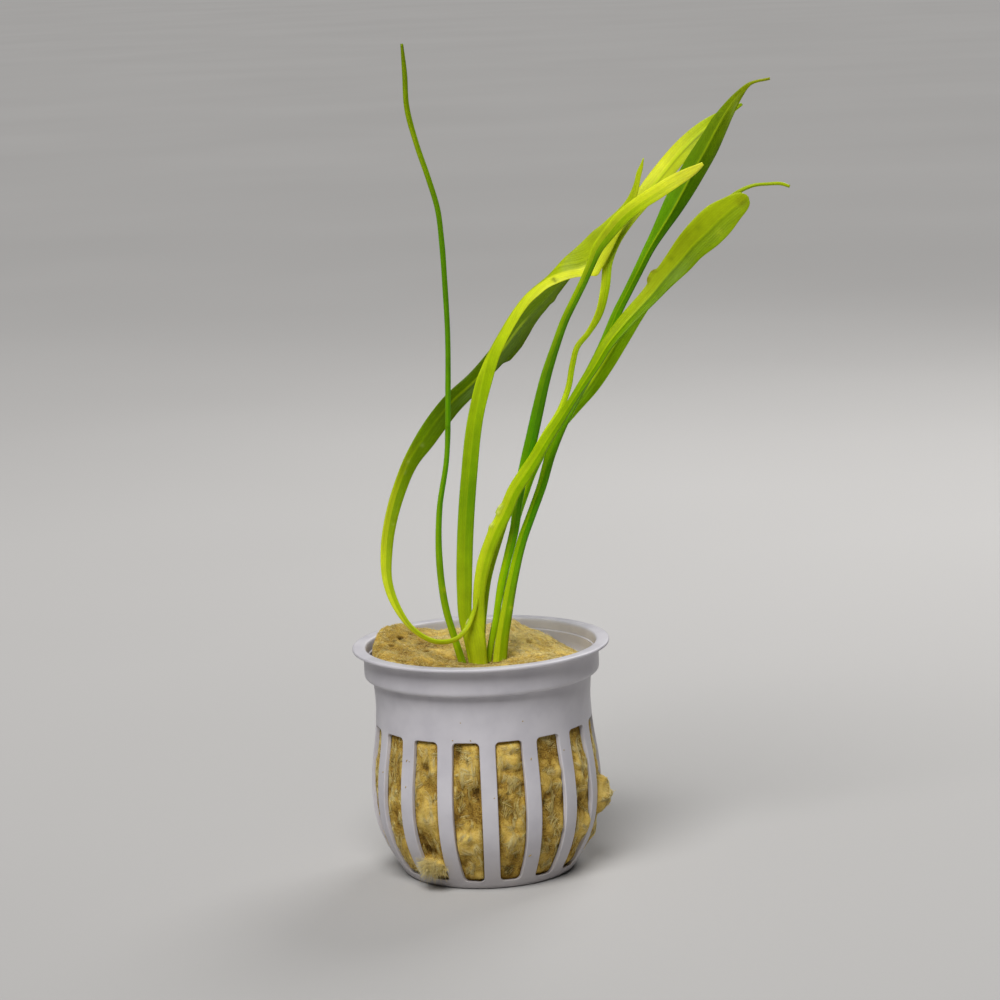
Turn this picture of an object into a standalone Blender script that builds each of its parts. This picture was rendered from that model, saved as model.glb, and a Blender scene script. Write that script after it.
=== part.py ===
"""Potted sagittaria: a young water plant in a plug of rock wool, in its slotted plastic pot.

The pot stands upright on its own flat foot. The origin is at the middle of the foot's underside,
+Z is up, and +X is the side that the leaves lean to. Lengths are in millimetres until they
become vertices, and Blender's own unit is the metre.
"""

import math

import bmesh
import bpy
import numpy as np

MM = 0.001
# Gap between two pieces that lie against each other.
GAP = 0.35

# The pot: the turned wall, its collar and its lip.
POT_HEIGHT = 48.7
LIP_RADIUS = 27.0
LIP_THICK = 0.8
COLLAR_RADIUS = 24.7
COLLAR_FOOT = 42.3
WALL_THICK = 1.0
FOOT_RADIUS = 17.0
FLOOR_THICK = 1.2
# Outer radius and height of the wall, from the neck under the collar down to the foot.
WALL = [
    (23.5, 42.2), (22.9, 40.4), (22.6, 35.5), (23.0, 30.0), (24.0, 22.5), (24.2, 16.0), (23.3, 10.5),
    (21.3, 5.5), (19.3, 2.2), (18.1, 0.6),
]
TURN_STEPS = 64

# The slots: 16 of them between ribs of one width, and 8 windows in the floor between spokes.
SLOTS = 16
RIB_WIDTH = 3.3
SLOT_TOP = 32.3
SLOT_FOOT = 2.0
SLOT_CORNER = 0.9
WINDOWS = 8
SPOKE_WIDTH = 3.0
WINDOW_REACH = (7.0, 14.5)
# How far a rib's middle is turned to the right of the front, in degrees.
RIB_TURN = 1.5

# The rock wool: its level at the right, its rise to the back left, and its dip round the stems.
WOOL_LEVEL = 45.3
WOOL_RISE = 3.9
WOOL_BULGE = 0.75
# The lump that is pushed out between two ribs at the right: slot, height, reach beyond the wall.
LUMP_SLOT = 4
LUMP_HEIGHT = 17.5
LUMP_REACH = 2.3
# The pocket that holds the crown.
POCKET_MIDDLE = (0.2, -2.6)
POCKET_RADII = (6.2, 5.2)
POCKET_FLOOR = 29.5

# The crown: a short rootstock and, above it, the sheath that three leaves share.
ROOTSTOCK_RADIUS = 3.6
ROOTSTOCK_MIDDLE = (0.0, -2.0, 35.0)
ROOTSTOCK_HEIGHT = 9.0
SHEATH = [
    (0.2, -3.4, 37.5, 3.4, 0),
    (-0.4, -3.6, 44.5, 3.5, 0),
    (-1.0, -3.7, 50.0, 4.2, 0),
    (-1.5, -3.7, 53.2, 4.9, 0),
]
SHEATH_THICK = 1.7

# Each leaf is a row of stations from its base to its tip. A station is the middle of the leaf
# (x, y, z), its width there, and how many degrees the blade is turned about its own length,
# away from facing the front.
THREAD_LEAF = [
    (-3.1, -3.9, 40.2, 1.4, 0), (-3.8, -4.0, 44.3, 1.5, 0), (-6.9, -3.0, 56.4, 1.4, 0),
    (-7.8, -3.0, 66.0, 1.3, 0), (-7.2, -3.0, 77.8, 1.2, 0), (-5.3, -3.5, 88.1, 1.1, 0),
    (-4.4, -4.0, 101.8, 1.1, 0), (-4.0, -5.0, 124.0, 1.1, 0), (-4.8, -5.0, 140.0, 1.1, 0),
    (-8.5, -4.5, 153.4, 1.1, 0), (-10.2, -4.0, 162.0, 1.1, 0), (-10.6, -4.0, 173.9, 0.6, 0),
]
LOOPING_LEAF = [
    (-1.1, -5.4, 55.2, 0.9, 0), (-2.7, -6.5, 52.7, 1.0, 0), (-5.2, -7.5, 50.9, 1.0, 20),
    (-9.0, -8.0, 50.8, 1.1, 30), (-13.4, -7.5, 53.5, 1.3, 30), (-16.6, -6.5, 57.9, 1.7, 20),
    (-18.8, -3.0, 69.4, 2.5, -10), (-15.6, 1.0, 82.1, 2.9, -20), (-9.6, 4.0, 92.0, 4.1, -15),
    (-4.3, 5.5, 98.1, 4.5, -10), (1.8, 7.0, 103.1, 4.6, 0), (7.7, 8.0, 109.1, 5.1, 10),
    (16.5, 9.5, 118.4, 4.8, 15), (20.2, 10.0, 122.2, 3.3, 15), (23.3, 10.5, 125.6, 0.9, 15),
]
STRAP_LEAF = [
    (-2.8, -3.6, 54.0, 2.3, 0), (-2.9, -3.6, 60.6, 3.0, -10), (-2.3, -3.4, 71.1, 3.4, -15),
    (-1.0, -3.0, 83.7, 3.5, -20), (1.1, -2.0, 97.3, 3.5, -20), (5.8, -1.0, 110.3, 2.9, 0),
    (11.1, 0.0, 118.5, 2.9, 20), (14.3, 0.2, 121.4, 2.9, 20), (18.2, 0.5, 124.6, 3.6, 10),
    (21.4, 1.0, 126.7, 5.2, 0), (24.8, 1.5, 129.0, 6.9, -10), (28.2, 2.0, 131.5, 6.6, -15),
    (31.2, 2.5, 134.6, 4.7, -15), (33.6, 3.0, 137.8, 2.9, -10), (35.6, 3.5, 141.8, 1.7, 0),
    (38.0, 4.0, 147.8, 0.7, 0),
]
WAVY_LEAF = [
    (0.0, -0.5, 40.2, 1.0, 0), (0.9, -1.4, 53.6, 1.0, 0), (2.3, -2.2, 62.2, 1.0, 0),
    (5.0, -3.6, 70.9, 1.0, 0), (8.3, -5.0, 80.0, 1.0, 0), (15.2, -4.8, 93.1, 1.0, 0),
    (20.1, -3.4, 102.1, 1.3, 20), (21.2, -2.4, 106.9, 1.3, 20), (22.3, -1.8, 110.3, 1.2, 10),
    (24.7, -1.0, 113.0, 1.2, -10), (27.0, 0.0, 116.6, 1.8, -20), (28.6, 1.5, 122.0, 2.0, -15),
    (29.7, 3.0, 127.1, 2.0, 0), (34.1, 6.0, 135.2, 3.1, 20), (41.8, 8.5, 144.4, 4.8, 25),
    (46.6, 9.0, 149.6, 4.4, 20), (51.3, 9.5, 153.6, 3.4, 15), (58.9, 9.5, 158.1, 0.7, 0),
]
TALL_LEAF = [
    (3.4, -2.2, 40.2, 2.4, 20), (3.8, -2.8, 44.3, 2.9, 20), (5.6, -4.0, 55.2, 2.6, 20),
    (9.3, -4.2, 69.9, 2.0, 20), (14.1, -3.8, 82.1, 2.0, 20), (21.3, -2.6, 98.8, 2.0, 20),
    (27.9, -1.0, 110.0, 2.1, 20), (33.7, 0.3, 121.5, 2.0, 20), (38.1, 1.0, 129.5, 2.5, 20),
    (43.1, 1.6, 137.5, 4.2, 20), (45.5, 2.0, 141.5, 4.9, 20), (48.1, 2.3, 145.9, 5.0, 20),
    (53.1, 2.9, 154.0, 3.7, 20), (57.8, 3.4, 160.4, 1.6, 10), (60.0, 3.5, 162.4, 0.8, 0),
    (64.3, 3.5, 163.4, 0.6, 0),
]
OVAL_LEAF = [
    (-0.1, -3.6, 54.0, 2.0, 0), (0.3, -3.8, 58.2, 2.2, 0), (1.5, -4.8, 66.4, 3.0, 10),
    (6.2, -6.6, 77.3, 3.5, 20), (10.5, -7.8, 85.2, 3.5, 20), (15.3, -8.4, 92.2, 3.0, 35),
    (20.5, -8.4, 99.3, 2.7, 50), (25.9, -7.8, 107.0, 2.9, 45), (32.4, -6.8, 115.5, 3.5, 25),
    (38.2, -6.0, 121.3, 4.0, 15), (43.9, -5.2, 127.5, 5.9, 5), (49.9, -4.4, 133.3, 7.5, 0),
    (55.2, -3.8, 137.7, 5.5, 0), (57.1, -3.6, 138.9, 3.7, 0), (58.5, -3.5, 139.8, 1.2, 0),
]
FRONT_LEAF = [
    (0.8, -2.0, 40.2, 1.0, 0), (2.3, -2.0, 48.4, 1.1, 0), (5.0, -2.2, 61.8, 1.6, 0),
    (8.0, -2.6, 72.7, 1.9, 0), (10.8, -3.0, 86.3, 2.3, 0), (13.7, -4.0, 97.9, 2.4, 0),
    (17.9, -7.0, 111.6, 1.8, 0), (22.0, -9.5, 121.0, 1.7, 0), (25.6, -11.5, 128.4, 1.8, 0),
    (29.4, -13.0, 134.4, 2.6, 0), (36.0, -14.8, 140.5, 3.0, 10), (43.1, -16.0, 144.8, 2.8, 10),
    (45.9, -16.3, 146.3, 2.1, 5), (48.7, -16.5, 148.0, 0.7, 0),
]
BACK_LEAF = [
    (0.6, 1.0, 40.2, 1.1, 0), (2.7, 0.8, 50.9, 1.1, 0), (7.2, 0.4, 67.9, 1.0, 0),
    (12.4, 0.6, 83.8, 1.3, 0), (16.0, 1.2, 90.3, 1.5, 0), (21.8, 2.2, 97.7, 3.1, 0),
    (28.1, 3.2, 105.7, 4.0, 0), (35.4, 4.4, 116.3, 3.5, 0), (45.2, 5.4, 127.9, 2.1, 0),
    (53.9, 6.0, 137.9, 1.0, 0), (57.5, 6.0, 140.6, 0.8, 0), (63.5, 6.0, 141.8, 0.7, 0),
    (68.1, 6.0, 141.0, 0.6, 0),
]
LEAVES = {
    "thread_leaf": (THREAD_LEAF, 0.8),
    "looping_leaf": (LOOPING_LEAF, 0.6),
    "strap_leaf": (STRAP_LEAF, 0.6),
    "wavy_leaf": (WAVY_LEAF, 0.6),
    "tall_leaf": (TALL_LEAF, 0.7),
    "oval_leaf": (OVAL_LEAF, 0.7),
    "front_leaf": (FRONT_LEAF, 0.7),
    "back_leaf": (BACK_LEAF, 0.6),
}
STATION_STEP = 5.0
# How deep a leaf is channelled along its middle, as a share of its width.
CHANNEL = 0.12


def clear_scene():
    for obj in list(bpy.data.objects):
        bpy.data.objects.remove(obj)


def new_collection(name):
    collection = bpy.data.collections.new(name)
    bpy.context.scene.collection.children.link(collection)
    return collection


def material(name, colour, roughness):
    """A plain Principled finish with a linear colour."""
    made = bpy.data.materials.new(name)
    made.use_nodes = True
    shader = made.node_tree.nodes["Principled BSDF"]
    shader.inputs["Base Color"].default_value = (*colour, 1.0)
    shader.inputs["Roughness"].default_value = roughness
    shader.inputs["Metallic"].default_value = 0.0
    return made


def add_object(name, mesh, collection, finish=None):
    obj = bpy.data.objects.new(name, mesh)
    collection.objects.link(obj)
    if finish is not None:
        mesh.materials.append(finish)
    return obj


def smooth(mesh, angle):
    mesh.shade_smooth()
    mesh.set_sharp_from_angle(angle=math.radians(angle))


def turned(name, profile, collection, finish=None):
    """A profile of (radius, height) points turned once about Z. It runs down the outer side."""
    points = [(radius * MM, 0.0, height * MM) for radius, height in profile]
    mesh = bpy.data.meshes.new(name)
    mesh.from_pydata(points, [(i, i + 1) for i in range(len(points) - 1)], [])
    obj = add_object(name, mesh, collection, finish)
    screw = obj.modifiers.new("turn", "SCREW")
    screw.axis = "Z"
    screw.angle = 2 * math.pi
    screw.steps = TURN_STEPS
    screw.render_steps = TURN_STEPS
    screw.use_merge_vertices = True
    screw.merge_threshold = 0.00005
    screw.use_smooth_shade = True
    obj.rotation_euler.z = math.radians(RIB_TURN)
    return obj


def as_mesh(obj):
    """Replaces an object's modifiers with the mesh that they make."""
    graph = bpy.context.evaluated_depsgraph_get()
    made = bpy.data.meshes.new_from_object(obj.evaluated_get(graph))
    obj.modifiers.clear()
    obj.data = made
    return made


def pot_profile():
    """Down the outside from the lip, with the inside first: floor, wall, collar and lip."""
    inner = [(radius - WALL_THICK, height) for radius, height in reversed(WALL) if height > FLOOR_THICK]
    inside = [(0.0, FLOOR_THICK), (FOOT_RADIUS - 0.6, FLOOR_THICK)]
    inside += inner
    inside += [(COLLAR_RADIUS - WALL_THICK, 44.6), (COLLAR_RADIUS - 0.7, 46.8)]
    lip = [
        (COLLAR_RADIUS, POT_HEIGHT - 0.35),
        (COLLAR_RADIUS + 0.4, POT_HEIGHT),
        (LIP_RADIUS - 0.3, POT_HEIGHT),
        (LIP_RADIUS, POT_HEIGHT - LIP_THICK / 2),
        (LIP_RADIUS - 0.3, POT_HEIGHT - LIP_THICK),
        (COLLAR_RADIUS + 0.1, POT_HEIGHT - LIP_THICK - 0.1),
    ]
    collar = [(COLLAR_RADIUS, 43.9), (COLLAR_RADIUS - 0.4, COLLAR_FOOT + 0.6)]
    return inside + lip + collar + WALL + [(FOOT_RADIUS, 0.0), (0.0, 0.0)]


def wedge(name, collection, count, rib, reach, heights, corner, index):
    """A cutter between two ribs: its sides run parallel to the ribs' sides, so ribs keep one width."""
    half_pitch = math.pi / count
    mesh = bpy.data.meshes.new(name)
    shape = bmesh.new()
    bmesh.ops.create_cube(shape, size=2.0)
    for vertex in shape.verts:
        radius = reach[1] if vertex.co.x > 0 else reach[0]
        half = radius * math.tan(half_pitch) - rib / 2 / math.cos(half_pitch)
        vertex.co.y *= half * MM
        vertex.co.x = radius * MM
        vertex.co.z = (heights[1] if vertex.co.z > 0 else heights[0]) * MM
    if corner:
        radial = [e for e in shape.edges if abs(e.verts[0].co.z - e.verts[1].co.z) < MM * 0.1]
        radial = [e for e in radial if abs(e.verts[0].co.x - e.verts[1].co.x) > MM]
        bmesh.ops.bevel(shape, geom=radial, offset=corner * MM, segments=2, profile=0.5, affect="EDGES")
    bmesh.ops.recalc_face_normals(shape, faces=shape.faces)
    shape.to_mesh(mesh)
    shape.free()
    obj = add_object(name, mesh, collection)
    first = -math.pi / 2 + math.radians(RIB_TURN) + half_pitch
    obj.rotation_euler.z = first + index * 2 * half_pitch
    obj.hide_render = True
    obj.display_type = "WIRE"
    return obj


def cut(obj, collection, name):
    boolean = obj.modifiers.new(name, "BOOLEAN")
    boolean.operation = "DIFFERENCE"
    boolean.operand_type = "COLLECTION"
    boolean.collection = collection
    boolean.solver = "EXACT"


def build_pot(parts, cutters, finish):
    pot = turned("net_pot", pot_profile(), parts, finish)
    for index in range(SLOTS):
        wedge(f"slot_cutter_{index}", cutters, SLOTS, RIB_WIDTH, (14.0, 28.0),
              (SLOT_FOOT, SLOT_TOP), SLOT_CORNER, index)
    for index in range(WINDOWS):
        wedge(f"window_cutter_{index}", cutters, WINDOWS, SPOKE_WIDTH, WINDOW_REACH,
              (-1.0, FLOOR_THICK + 0.5), 0, index)
    cut(pot, cutters, "slots")
    return pot


def wool_level(x, y):
    """Height of the wool at a point: it rises to the back and left, with two low humps."""
    lean = 0.5 + 0.5 * math.tanh((0.62 * y - 0.55 * x) / 11.0)
    hump = 1.3 * math.exp(-((x - 6.0) ** 2 + (y - 19.0) ** 2) / 40.0)
    hump += 0.9 * math.exp(-((x + 15.0) ** 2 + (y - 12.0) ** 2) / 50.0)
    return WOOL_LEVEL + WOOL_RISE * lean + hump - 1.0


def wool_profile():
    """The plug's outline, just inside the pot's wall."""
    side = [(radius - WALL_THICK - GAP, height) for radius, height in WALL if height > 3.0]
    top = [(0.0, WOOL_LEVEL), (7.5, WOOL_LEVEL), (13.0, WOOL_LEVEL), (18.5, WOOL_LEVEL), (22.2, WOOL_LEVEL)]
    foot = FLOOR_THICK + GAP
    return top + side[1:] + [(FOOT_RADIUS - 0.9, foot), (0.0, foot)]


def build_wool(parts, cutters, finish):
    """The plug is turned, then its top is shaped into a mound and its side pushed into the slots."""
    wool = turned("rock_wool", wool_profile(), parts, finish)
    mesh = as_mesh(wool)
    pitch = 2 * math.pi / SLOTS
    for vertex in mesh.vertices:
        x, y, z = (value / MM for value in vertex.co)
        radius = math.hypot(x, y)
        if z > WOOL_LEVEL - 0.1:
            turn = math.radians(RIB_TURN)
            real_x = x * math.cos(turn) - y * math.sin(turn)
            real_y = x * math.sin(turn) + y * math.cos(turn)
            vertex.co.z = wool_level(real_x, real_y) * MM
            continue
        if radius < 15.0 or not SLOT_FOOT + 2.0 < z < SLOT_TOP - 3.0:
            continue
        angle = math.atan2(y, x) + math.pi / 2
        slot = math.floor(angle / pitch) % SLOTS
        from_middle = abs((angle % pitch) - pitch / 2)
        if from_middle > 0.02:
            continue
        push = GAP + WOOL_BULGE * (0.6 + 0.4 * math.sin(2.3 * slot + 0.45 * z))
        if slot == LUMP_SLOT - 1:
            push += (LUMP_REACH + 0.4) * math.exp(-((z - LUMP_HEIGHT) / 5.0) ** 2)
        vertex.co.x *= 1 + push / radius
        vertex.co.y *= 1 + push / radius
    mesh.update()
    bpy.ops.mesh.primitive_cylinder_add(vertices=32, radius=1.0, depth=1.0)
    pocket = bpy.context.object
    pocket.name = "pocket_cutter"
    for vertex in pocket.data.vertices:
        vertex.co.x *= POCKET_RADII[0] * MM
        vertex.co.y *= POCKET_RADII[1] * MM
        vertex.co.z = (POCKET_FLOOR if vertex.co.z < 0 else POT_HEIGHT + 8.0) * MM
    pocket.location = (POCKET_MIDDLE[0] * MM, POCKET_MIDDLE[1] * MM, 0.0)
    pocket.hide_render = True
    pocket.display_type = "WIRE"
    for old in list(pocket.users_collection):
        old.objects.unlink(pocket)
    cutters.objects.link(pocket)
    boolean = wool.modifiers.new("pocket", "BOOLEAN")
    boolean.operation = "DIFFERENCE"
    boolean.object = pocket
    boolean.solver = "EXACT"
    return wool


def along(rows, step):
    """Stations at even steps along a smooth curve through the rows, worked out in every column."""
    rows = np.array(rows, float)
    gaps = np.linalg.norm(np.diff(rows[:, :3], axis=0), axis=1)
    knots = np.concatenate([[0.0], np.cumsum(gaps)])
    slopes = np.gradient(rows, knots, axis=0)
    count = max(4, round(knots[-1] / step))
    at = np.linspace(0.0, knots[-1], count + 1)
    piece = np.clip(np.searchsorted(knots, at, side="right") - 1, 0, len(knots) - 2)
    width = (knots[piece + 1] - knots[piece])[:, None]
    t = (at - knots[piece])[:, None] / width
    start = (2 * t**3 - 3 * t**2 + 1) * rows[piece] + (t**3 - 2 * t**2 + t) * width * slopes[piece]
    end = (3 * t**2 - 2 * t**3) * rows[piece + 1] + (t**3 - t**2) * width * slopes[piece + 1]
    return start + end


def ribbon(rows, step, channel):
    """A blade as (stations, 3 columns, xyz): left edge, middle and right edge of each station.

    Across the leaf runs the direction that is square to its length and to the front, turned
    about the length by the station's own angle. The middle is pushed back into a channel."""
    stations = along(rows, step)
    middle = stations[:, :3]
    length = np.gradient(middle, axis=0)
    length /= np.linalg.norm(length, axis=1, keepdims=True)
    front = np.array([0.0, -1.0, 0.17])
    across = np.cross(length, front)
    across /= np.linalg.norm(across, axis=1, keepdims=True)
    facing = np.cross(across, length)
    turn = np.radians(stations[:, 4:5])
    across, facing = (
        across * np.cos(turn) + facing * np.sin(turn),
        facing * np.cos(turn) - across * np.sin(turn),
    )
    half = stations[:, 3:4] / 2
    sink = facing * half * 2 * channel
    return np.stack([middle - across * half, middle - sink, middle + across * half], axis=1)


def blade_mesh(name, rows, step, channel):
    grid = ribbon(rows, step, channel)
    stations, columns, _ = grid.shape
    numbers = np.arange(stations * columns).reshape(stations, columns)
    faces = np.stack(
        [numbers[:-1, :-1], numbers[:-1, 1:], numbers[1:, 1:], numbers[1:, :-1]], axis=-1
    )
    mesh = bpy.data.meshes.new(name)
    mesh.from_pydata((grid.reshape(-1, 3) * MM).tolist(), [], faces.reshape(-1, 4).tolist())
    mesh.update()
    return mesh


def build_blade(name, rows, thick, collection, finish, step=STATION_STEP, channel=CHANNEL):
    obj = add_object(name, blade_mesh(name, rows, step, channel), collection, finish)
    solid = obj.modifiers.new("thickness", "SOLIDIFY")
    solid.thickness = thick * MM
    solid.offset = 0.0
    smooth(obj.data, 40)
    return obj


def build_crown(parts, cutters, finish):
    """The rootstock is a stretched ball, and the shared sheath is joined to its top."""
    mesh = bpy.data.meshes.new("crown")
    shape = bmesh.new()
    bmesh.ops.create_uvsphere(shape, u_segments=14, v_segments=8, radius=1.0)
    for vertex in shape.verts:
        vertex.co.x *= ROOTSTOCK_RADIUS * MM
        vertex.co.y *= ROOTSTOCK_RADIUS * MM
        vertex.co.z *= ROOTSTOCK_HEIGHT / 2 * MM
    shape.to_mesh(mesh)
    shape.free()
    crown = add_object("crown", mesh, parts, finish)
    crown.location = tuple(value * MM for value in ROOTSTOCK_MIDDLE)
    sheath = build_blade("sheath_form", SHEATH, SHEATH_THICK, cutters, finish, 2.6, -0.04)
    sheath.hide_render = True
    sheath.display_type = "WIRE"
    join = crown.modifiers.new("sheath", "BOOLEAN")
    join.operation = "UNION"
    join.object = sheath
    join.solver = "EXACT"
    smooth(mesh, 50)
    return crown


def main():
    clear_scene()
    parts = new_collection("potted_sagittaria")
    slots = new_collection("slot_cutters")
    forms = new_collection("forms")
    plastic = material("grey_plastic", (0.55, 0.53, 0.58), 0.42)
    mineral = material("rock_wool", (0.50, 0.36, 0.12), 0.95)
    leaf = material("leaf_green", (0.22, 0.42, 0.02), 0.45)
    pale = material("crown_green", (0.40, 0.50, 0.06), 0.5)
    pieces = [
        build_pot(parts, slots, plastic),
        build_wool(parts, forms, mineral),
        build_crown(parts, forms, pale),
    ]
    for name, (rows, thick) in LEAVES.items():
        pieces.append(build_blade(name, rows, thick, parts, leaf))
    base = bpy.data.objects.new("foot_middle", None)
    parts.objects.link(base)
    for piece in pieces:
        piece.parent = base
    bpy.context.view_layer.update()


main()
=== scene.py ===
# %% [markdown]
# # A potted sagittaria
#
# A young water plant as it is sold: eight ribbon leaves grow from one crown, the crown sits in a plug of
# rock wool, and the wool is held by a small slotted plastic pot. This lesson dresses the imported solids.
# Every surface is worked out with numpy as a function of two parameters, and put into a mesh as whole
# arrays. The first cell loads the frame. Lengths are in millimetres until they become vertices.

# %% Load the frame
import math

import bmesh
import bpy
import numpy as np
from mathutils import Matrix


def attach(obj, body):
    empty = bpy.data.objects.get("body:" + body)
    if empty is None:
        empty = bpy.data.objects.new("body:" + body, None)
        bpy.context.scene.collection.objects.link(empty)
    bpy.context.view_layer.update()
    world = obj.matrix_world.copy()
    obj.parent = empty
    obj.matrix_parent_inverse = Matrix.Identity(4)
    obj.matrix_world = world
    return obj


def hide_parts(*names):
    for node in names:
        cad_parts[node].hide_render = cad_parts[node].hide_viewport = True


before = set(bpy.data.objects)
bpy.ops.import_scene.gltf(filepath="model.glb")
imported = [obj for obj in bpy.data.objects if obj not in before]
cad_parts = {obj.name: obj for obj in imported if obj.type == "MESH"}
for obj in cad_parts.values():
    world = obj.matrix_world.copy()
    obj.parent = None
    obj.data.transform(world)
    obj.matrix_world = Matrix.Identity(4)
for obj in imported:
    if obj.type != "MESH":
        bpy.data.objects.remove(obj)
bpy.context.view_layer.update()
MM = 0.001

# %% [markdown]
# The camera stands where the lip's ellipse, the slots and the foot say that the photographer stood: 0.7 m
# away, looking down by about ten degrees, with a little roll, because the real pot leans a little and this
# one stands upright. A camera looks along its own -Z, so it is first tipped up from the floor about X and
# then rolled about its own axis.

# %% Camera
LENS = 119.94
CAMERA_AT = (5.3, -684.8, 196.9)
LOOK_DOWN = 9.8
ROLL = 2.4

camera_data = bpy.data.cameras.new("camera")
camera_data.lens = LENS
camera_data.sensor_width = 36.0
camera = bpy.data.objects.new("camera", camera_data)
bpy.context.scene.collection.objects.link(camera)
tip = Matrix.Rotation(math.radians(90.0 - LOOK_DOWN), 4, "X")
roll = Matrix.Rotation(math.radians(-ROLL), 4, "Z")
camera.matrix_world = Matrix.Translation([value * MM for value in CAMERA_AT]) @ tip @ roll
bpy.context.scene.camera = camera
print("camera at", CAMERA_AT, "mm, lens", LENS, "mm")

# %% [markdown]
# Colours are written as sRGB hex values, as a paint chip gives them, and a shader works in linear light, so
# one function turns them. A second function adds a shader node with its settings and links. Four short ones
# stand on it, for sums, colour mixes and soft ramps, so each material below reads as a short list of nodes.


# %% Colours and shader nodes
def linear(code):
    """An sRGB hex colour as linear red, green, blue and alpha, by the sRGB curve."""
    parts = np.array([int(code[i:i + 2], 16) for i in (1, 3, 5)]) / 255.0
    curve = np.where(parts <= 0.04045, parts / 12.92, ((parts + 0.055) / 1.055) ** 2.4)
    return (*curve.tolist(), 1.0)


def add(tree, kind, inputs=None, stops=None, **settings):
    """Adds one node. Inputs go by socket name or number, and take a value or another node's socket."""
    made = tree.nodes.new(kind)
    for key, value in settings.items():
        setattr(made, key, value)
    for key, value in (inputs or {}).items():
        if isinstance(value, bpy.types.NodeSocket):
            tree.links.new(value, made.inputs[key])
        else:
            made.inputs[key].default_value = value
    if stops:
        elements = made.color_ramp.elements
        while len(elements) < len(stops):
            elements.new(1.0)
        for element, (place, code) in zip(elements, stops):
            element.position = place
            element.color = linear(code)
    return made


def maths(tree, operation, *values):
    """The output of one math node: its values are numbers or other nodes' sockets."""
    return add(tree, "ShaderNodeMath", dict(enumerate(values)), operation=operation).outputs[0]


def mixed(tree, factor, first, second):
    """The output of one colour mix: the factor leads from the first colour to the second."""
    made = add(tree, "ShaderNodeMix", {"Factor": factor, 6: first, 7: second}, data_type="RGBA")
    return made.outputs[2]


def fade(tree, value, near, far, strength):
    """The output of a soft ramp: the strength up to near, and nothing from far on."""
    ends = {"Value": value, "From Min": near, "From Max": far, "To Min": strength, "To Max": 0.0}
    return add(tree, "ShaderNodeMapRange", ends, interpolation_type="SMOOTHSTEP").outputs[0]


def weighted_sum(tree, start, parts):
    """The output of a sum of (socket, weight) pairs and a start value."""
    total = start
    for part, weight in parts:
        total = maths(tree, "MULTIPLY_ADD", part, weight, total)
    return total


def new_material(name):
    """An empty node tree with an output."""
    made = bpy.data.materials.new(name)
    made.use_nodes = True
    made.node_tree.nodes.clear()
    return made, made.node_tree, made.node_tree.nodes.new("ShaderNodeOutputMaterial")


print("white is", linear("#FFFFFF"))

# %% [markdown]
# Three small tools make every surface. `hermite` draws a smooth curve through a few chosen points. `noise` is
# a field of soft random lumps, which the wool needs. `piece` puts arrays of points and faces into a mesh:
# where a closed shape comes round to its own start the points are doubled, and merging them closes the
# seams and poles, after which the faces are turned outwards.

# %% Curves, noise and meshes
NOISE_SEED, NOISE_CELLS = 11, 32
NOISE_TABLE = np.random.default_rng(NOISE_SEED).random((NOISE_CELLS, NOISE_CELLS, NOISE_CELLS))


def hermite(knots, values, at):
    """A cubic curve through (knot, value) pairs. Its slope at a knot is taken from the knot's neighbours."""
    knots = np.asarray(knots, float)
    values = np.asarray(values, float)
    at = np.asarray(at, float)
    slopes = np.gradient(values, knots, axis=0)
    part = np.clip(np.searchsorted(knots, at, side="right") - 1, 0, len(knots) - 2)
    width = knots[part + 1] - knots[part]
    t = (at - knots[part]) / width
    if values.ndim > at.ndim:
        t, width = t[..., None], width[..., None]
    start = (2 * t**3 - 3 * t**2 + 1) * values[part] + (t**3 - 2 * t**2 + t) * width * slopes[part]
    end = (3 * t**2 - 2 * t**3) * values[part + 1] + (t**3 - t**2) * width * slopes[part + 1]
    return start + end


def step(low, high, value):
    """0 below low, 1 above high, and a smooth 3t^2 - 2t^3 rise between them."""
    t = np.clip((value - low) / (high - low), 0.0, 1.0)
    return t * t * (3 - 2 * t)


def unit(vectors):
    """Vectors at length one."""
    return vectors / (np.linalg.norm(vectors, axis=-1, keepdims=True) + 1e-9)


def noise(x, y, z, size):
    """Lumps of one size from -1 to 1: the smooth mix of the random values at a cell's eight corners."""
    places = np.stack(np.broadcast_arrays(x, y, z), axis=-1) / size + 7.31 * size
    cell = np.floor(places).astype(int)
    t = places - cell
    t = t * t * (3 - 2 * t)
    total = 0.0
    for corner in np.ndindex(2, 2, 2):
        index = (cell + corner) % NOISE_CELLS
        weight = np.prod(np.where(corner, t, 1 - t), axis=-1)
        total = total + weight * NOISE_TABLE[index[..., 0], index[..., 1], index[..., 2]]
    return 2 * total - 1


def grid_faces(rows, columns):
    """The four-sided faces of a grid of points that is numbered row by row."""
    numbers = np.arange(rows * columns).reshape(rows, columns)
    corners = [numbers[:-1, :-1], numbers[:-1, 1:], numbers[1:, 1:], numbers[1:, :-1]]
    return np.stack(corners, axis=-1).reshape(-1, 4)


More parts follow.
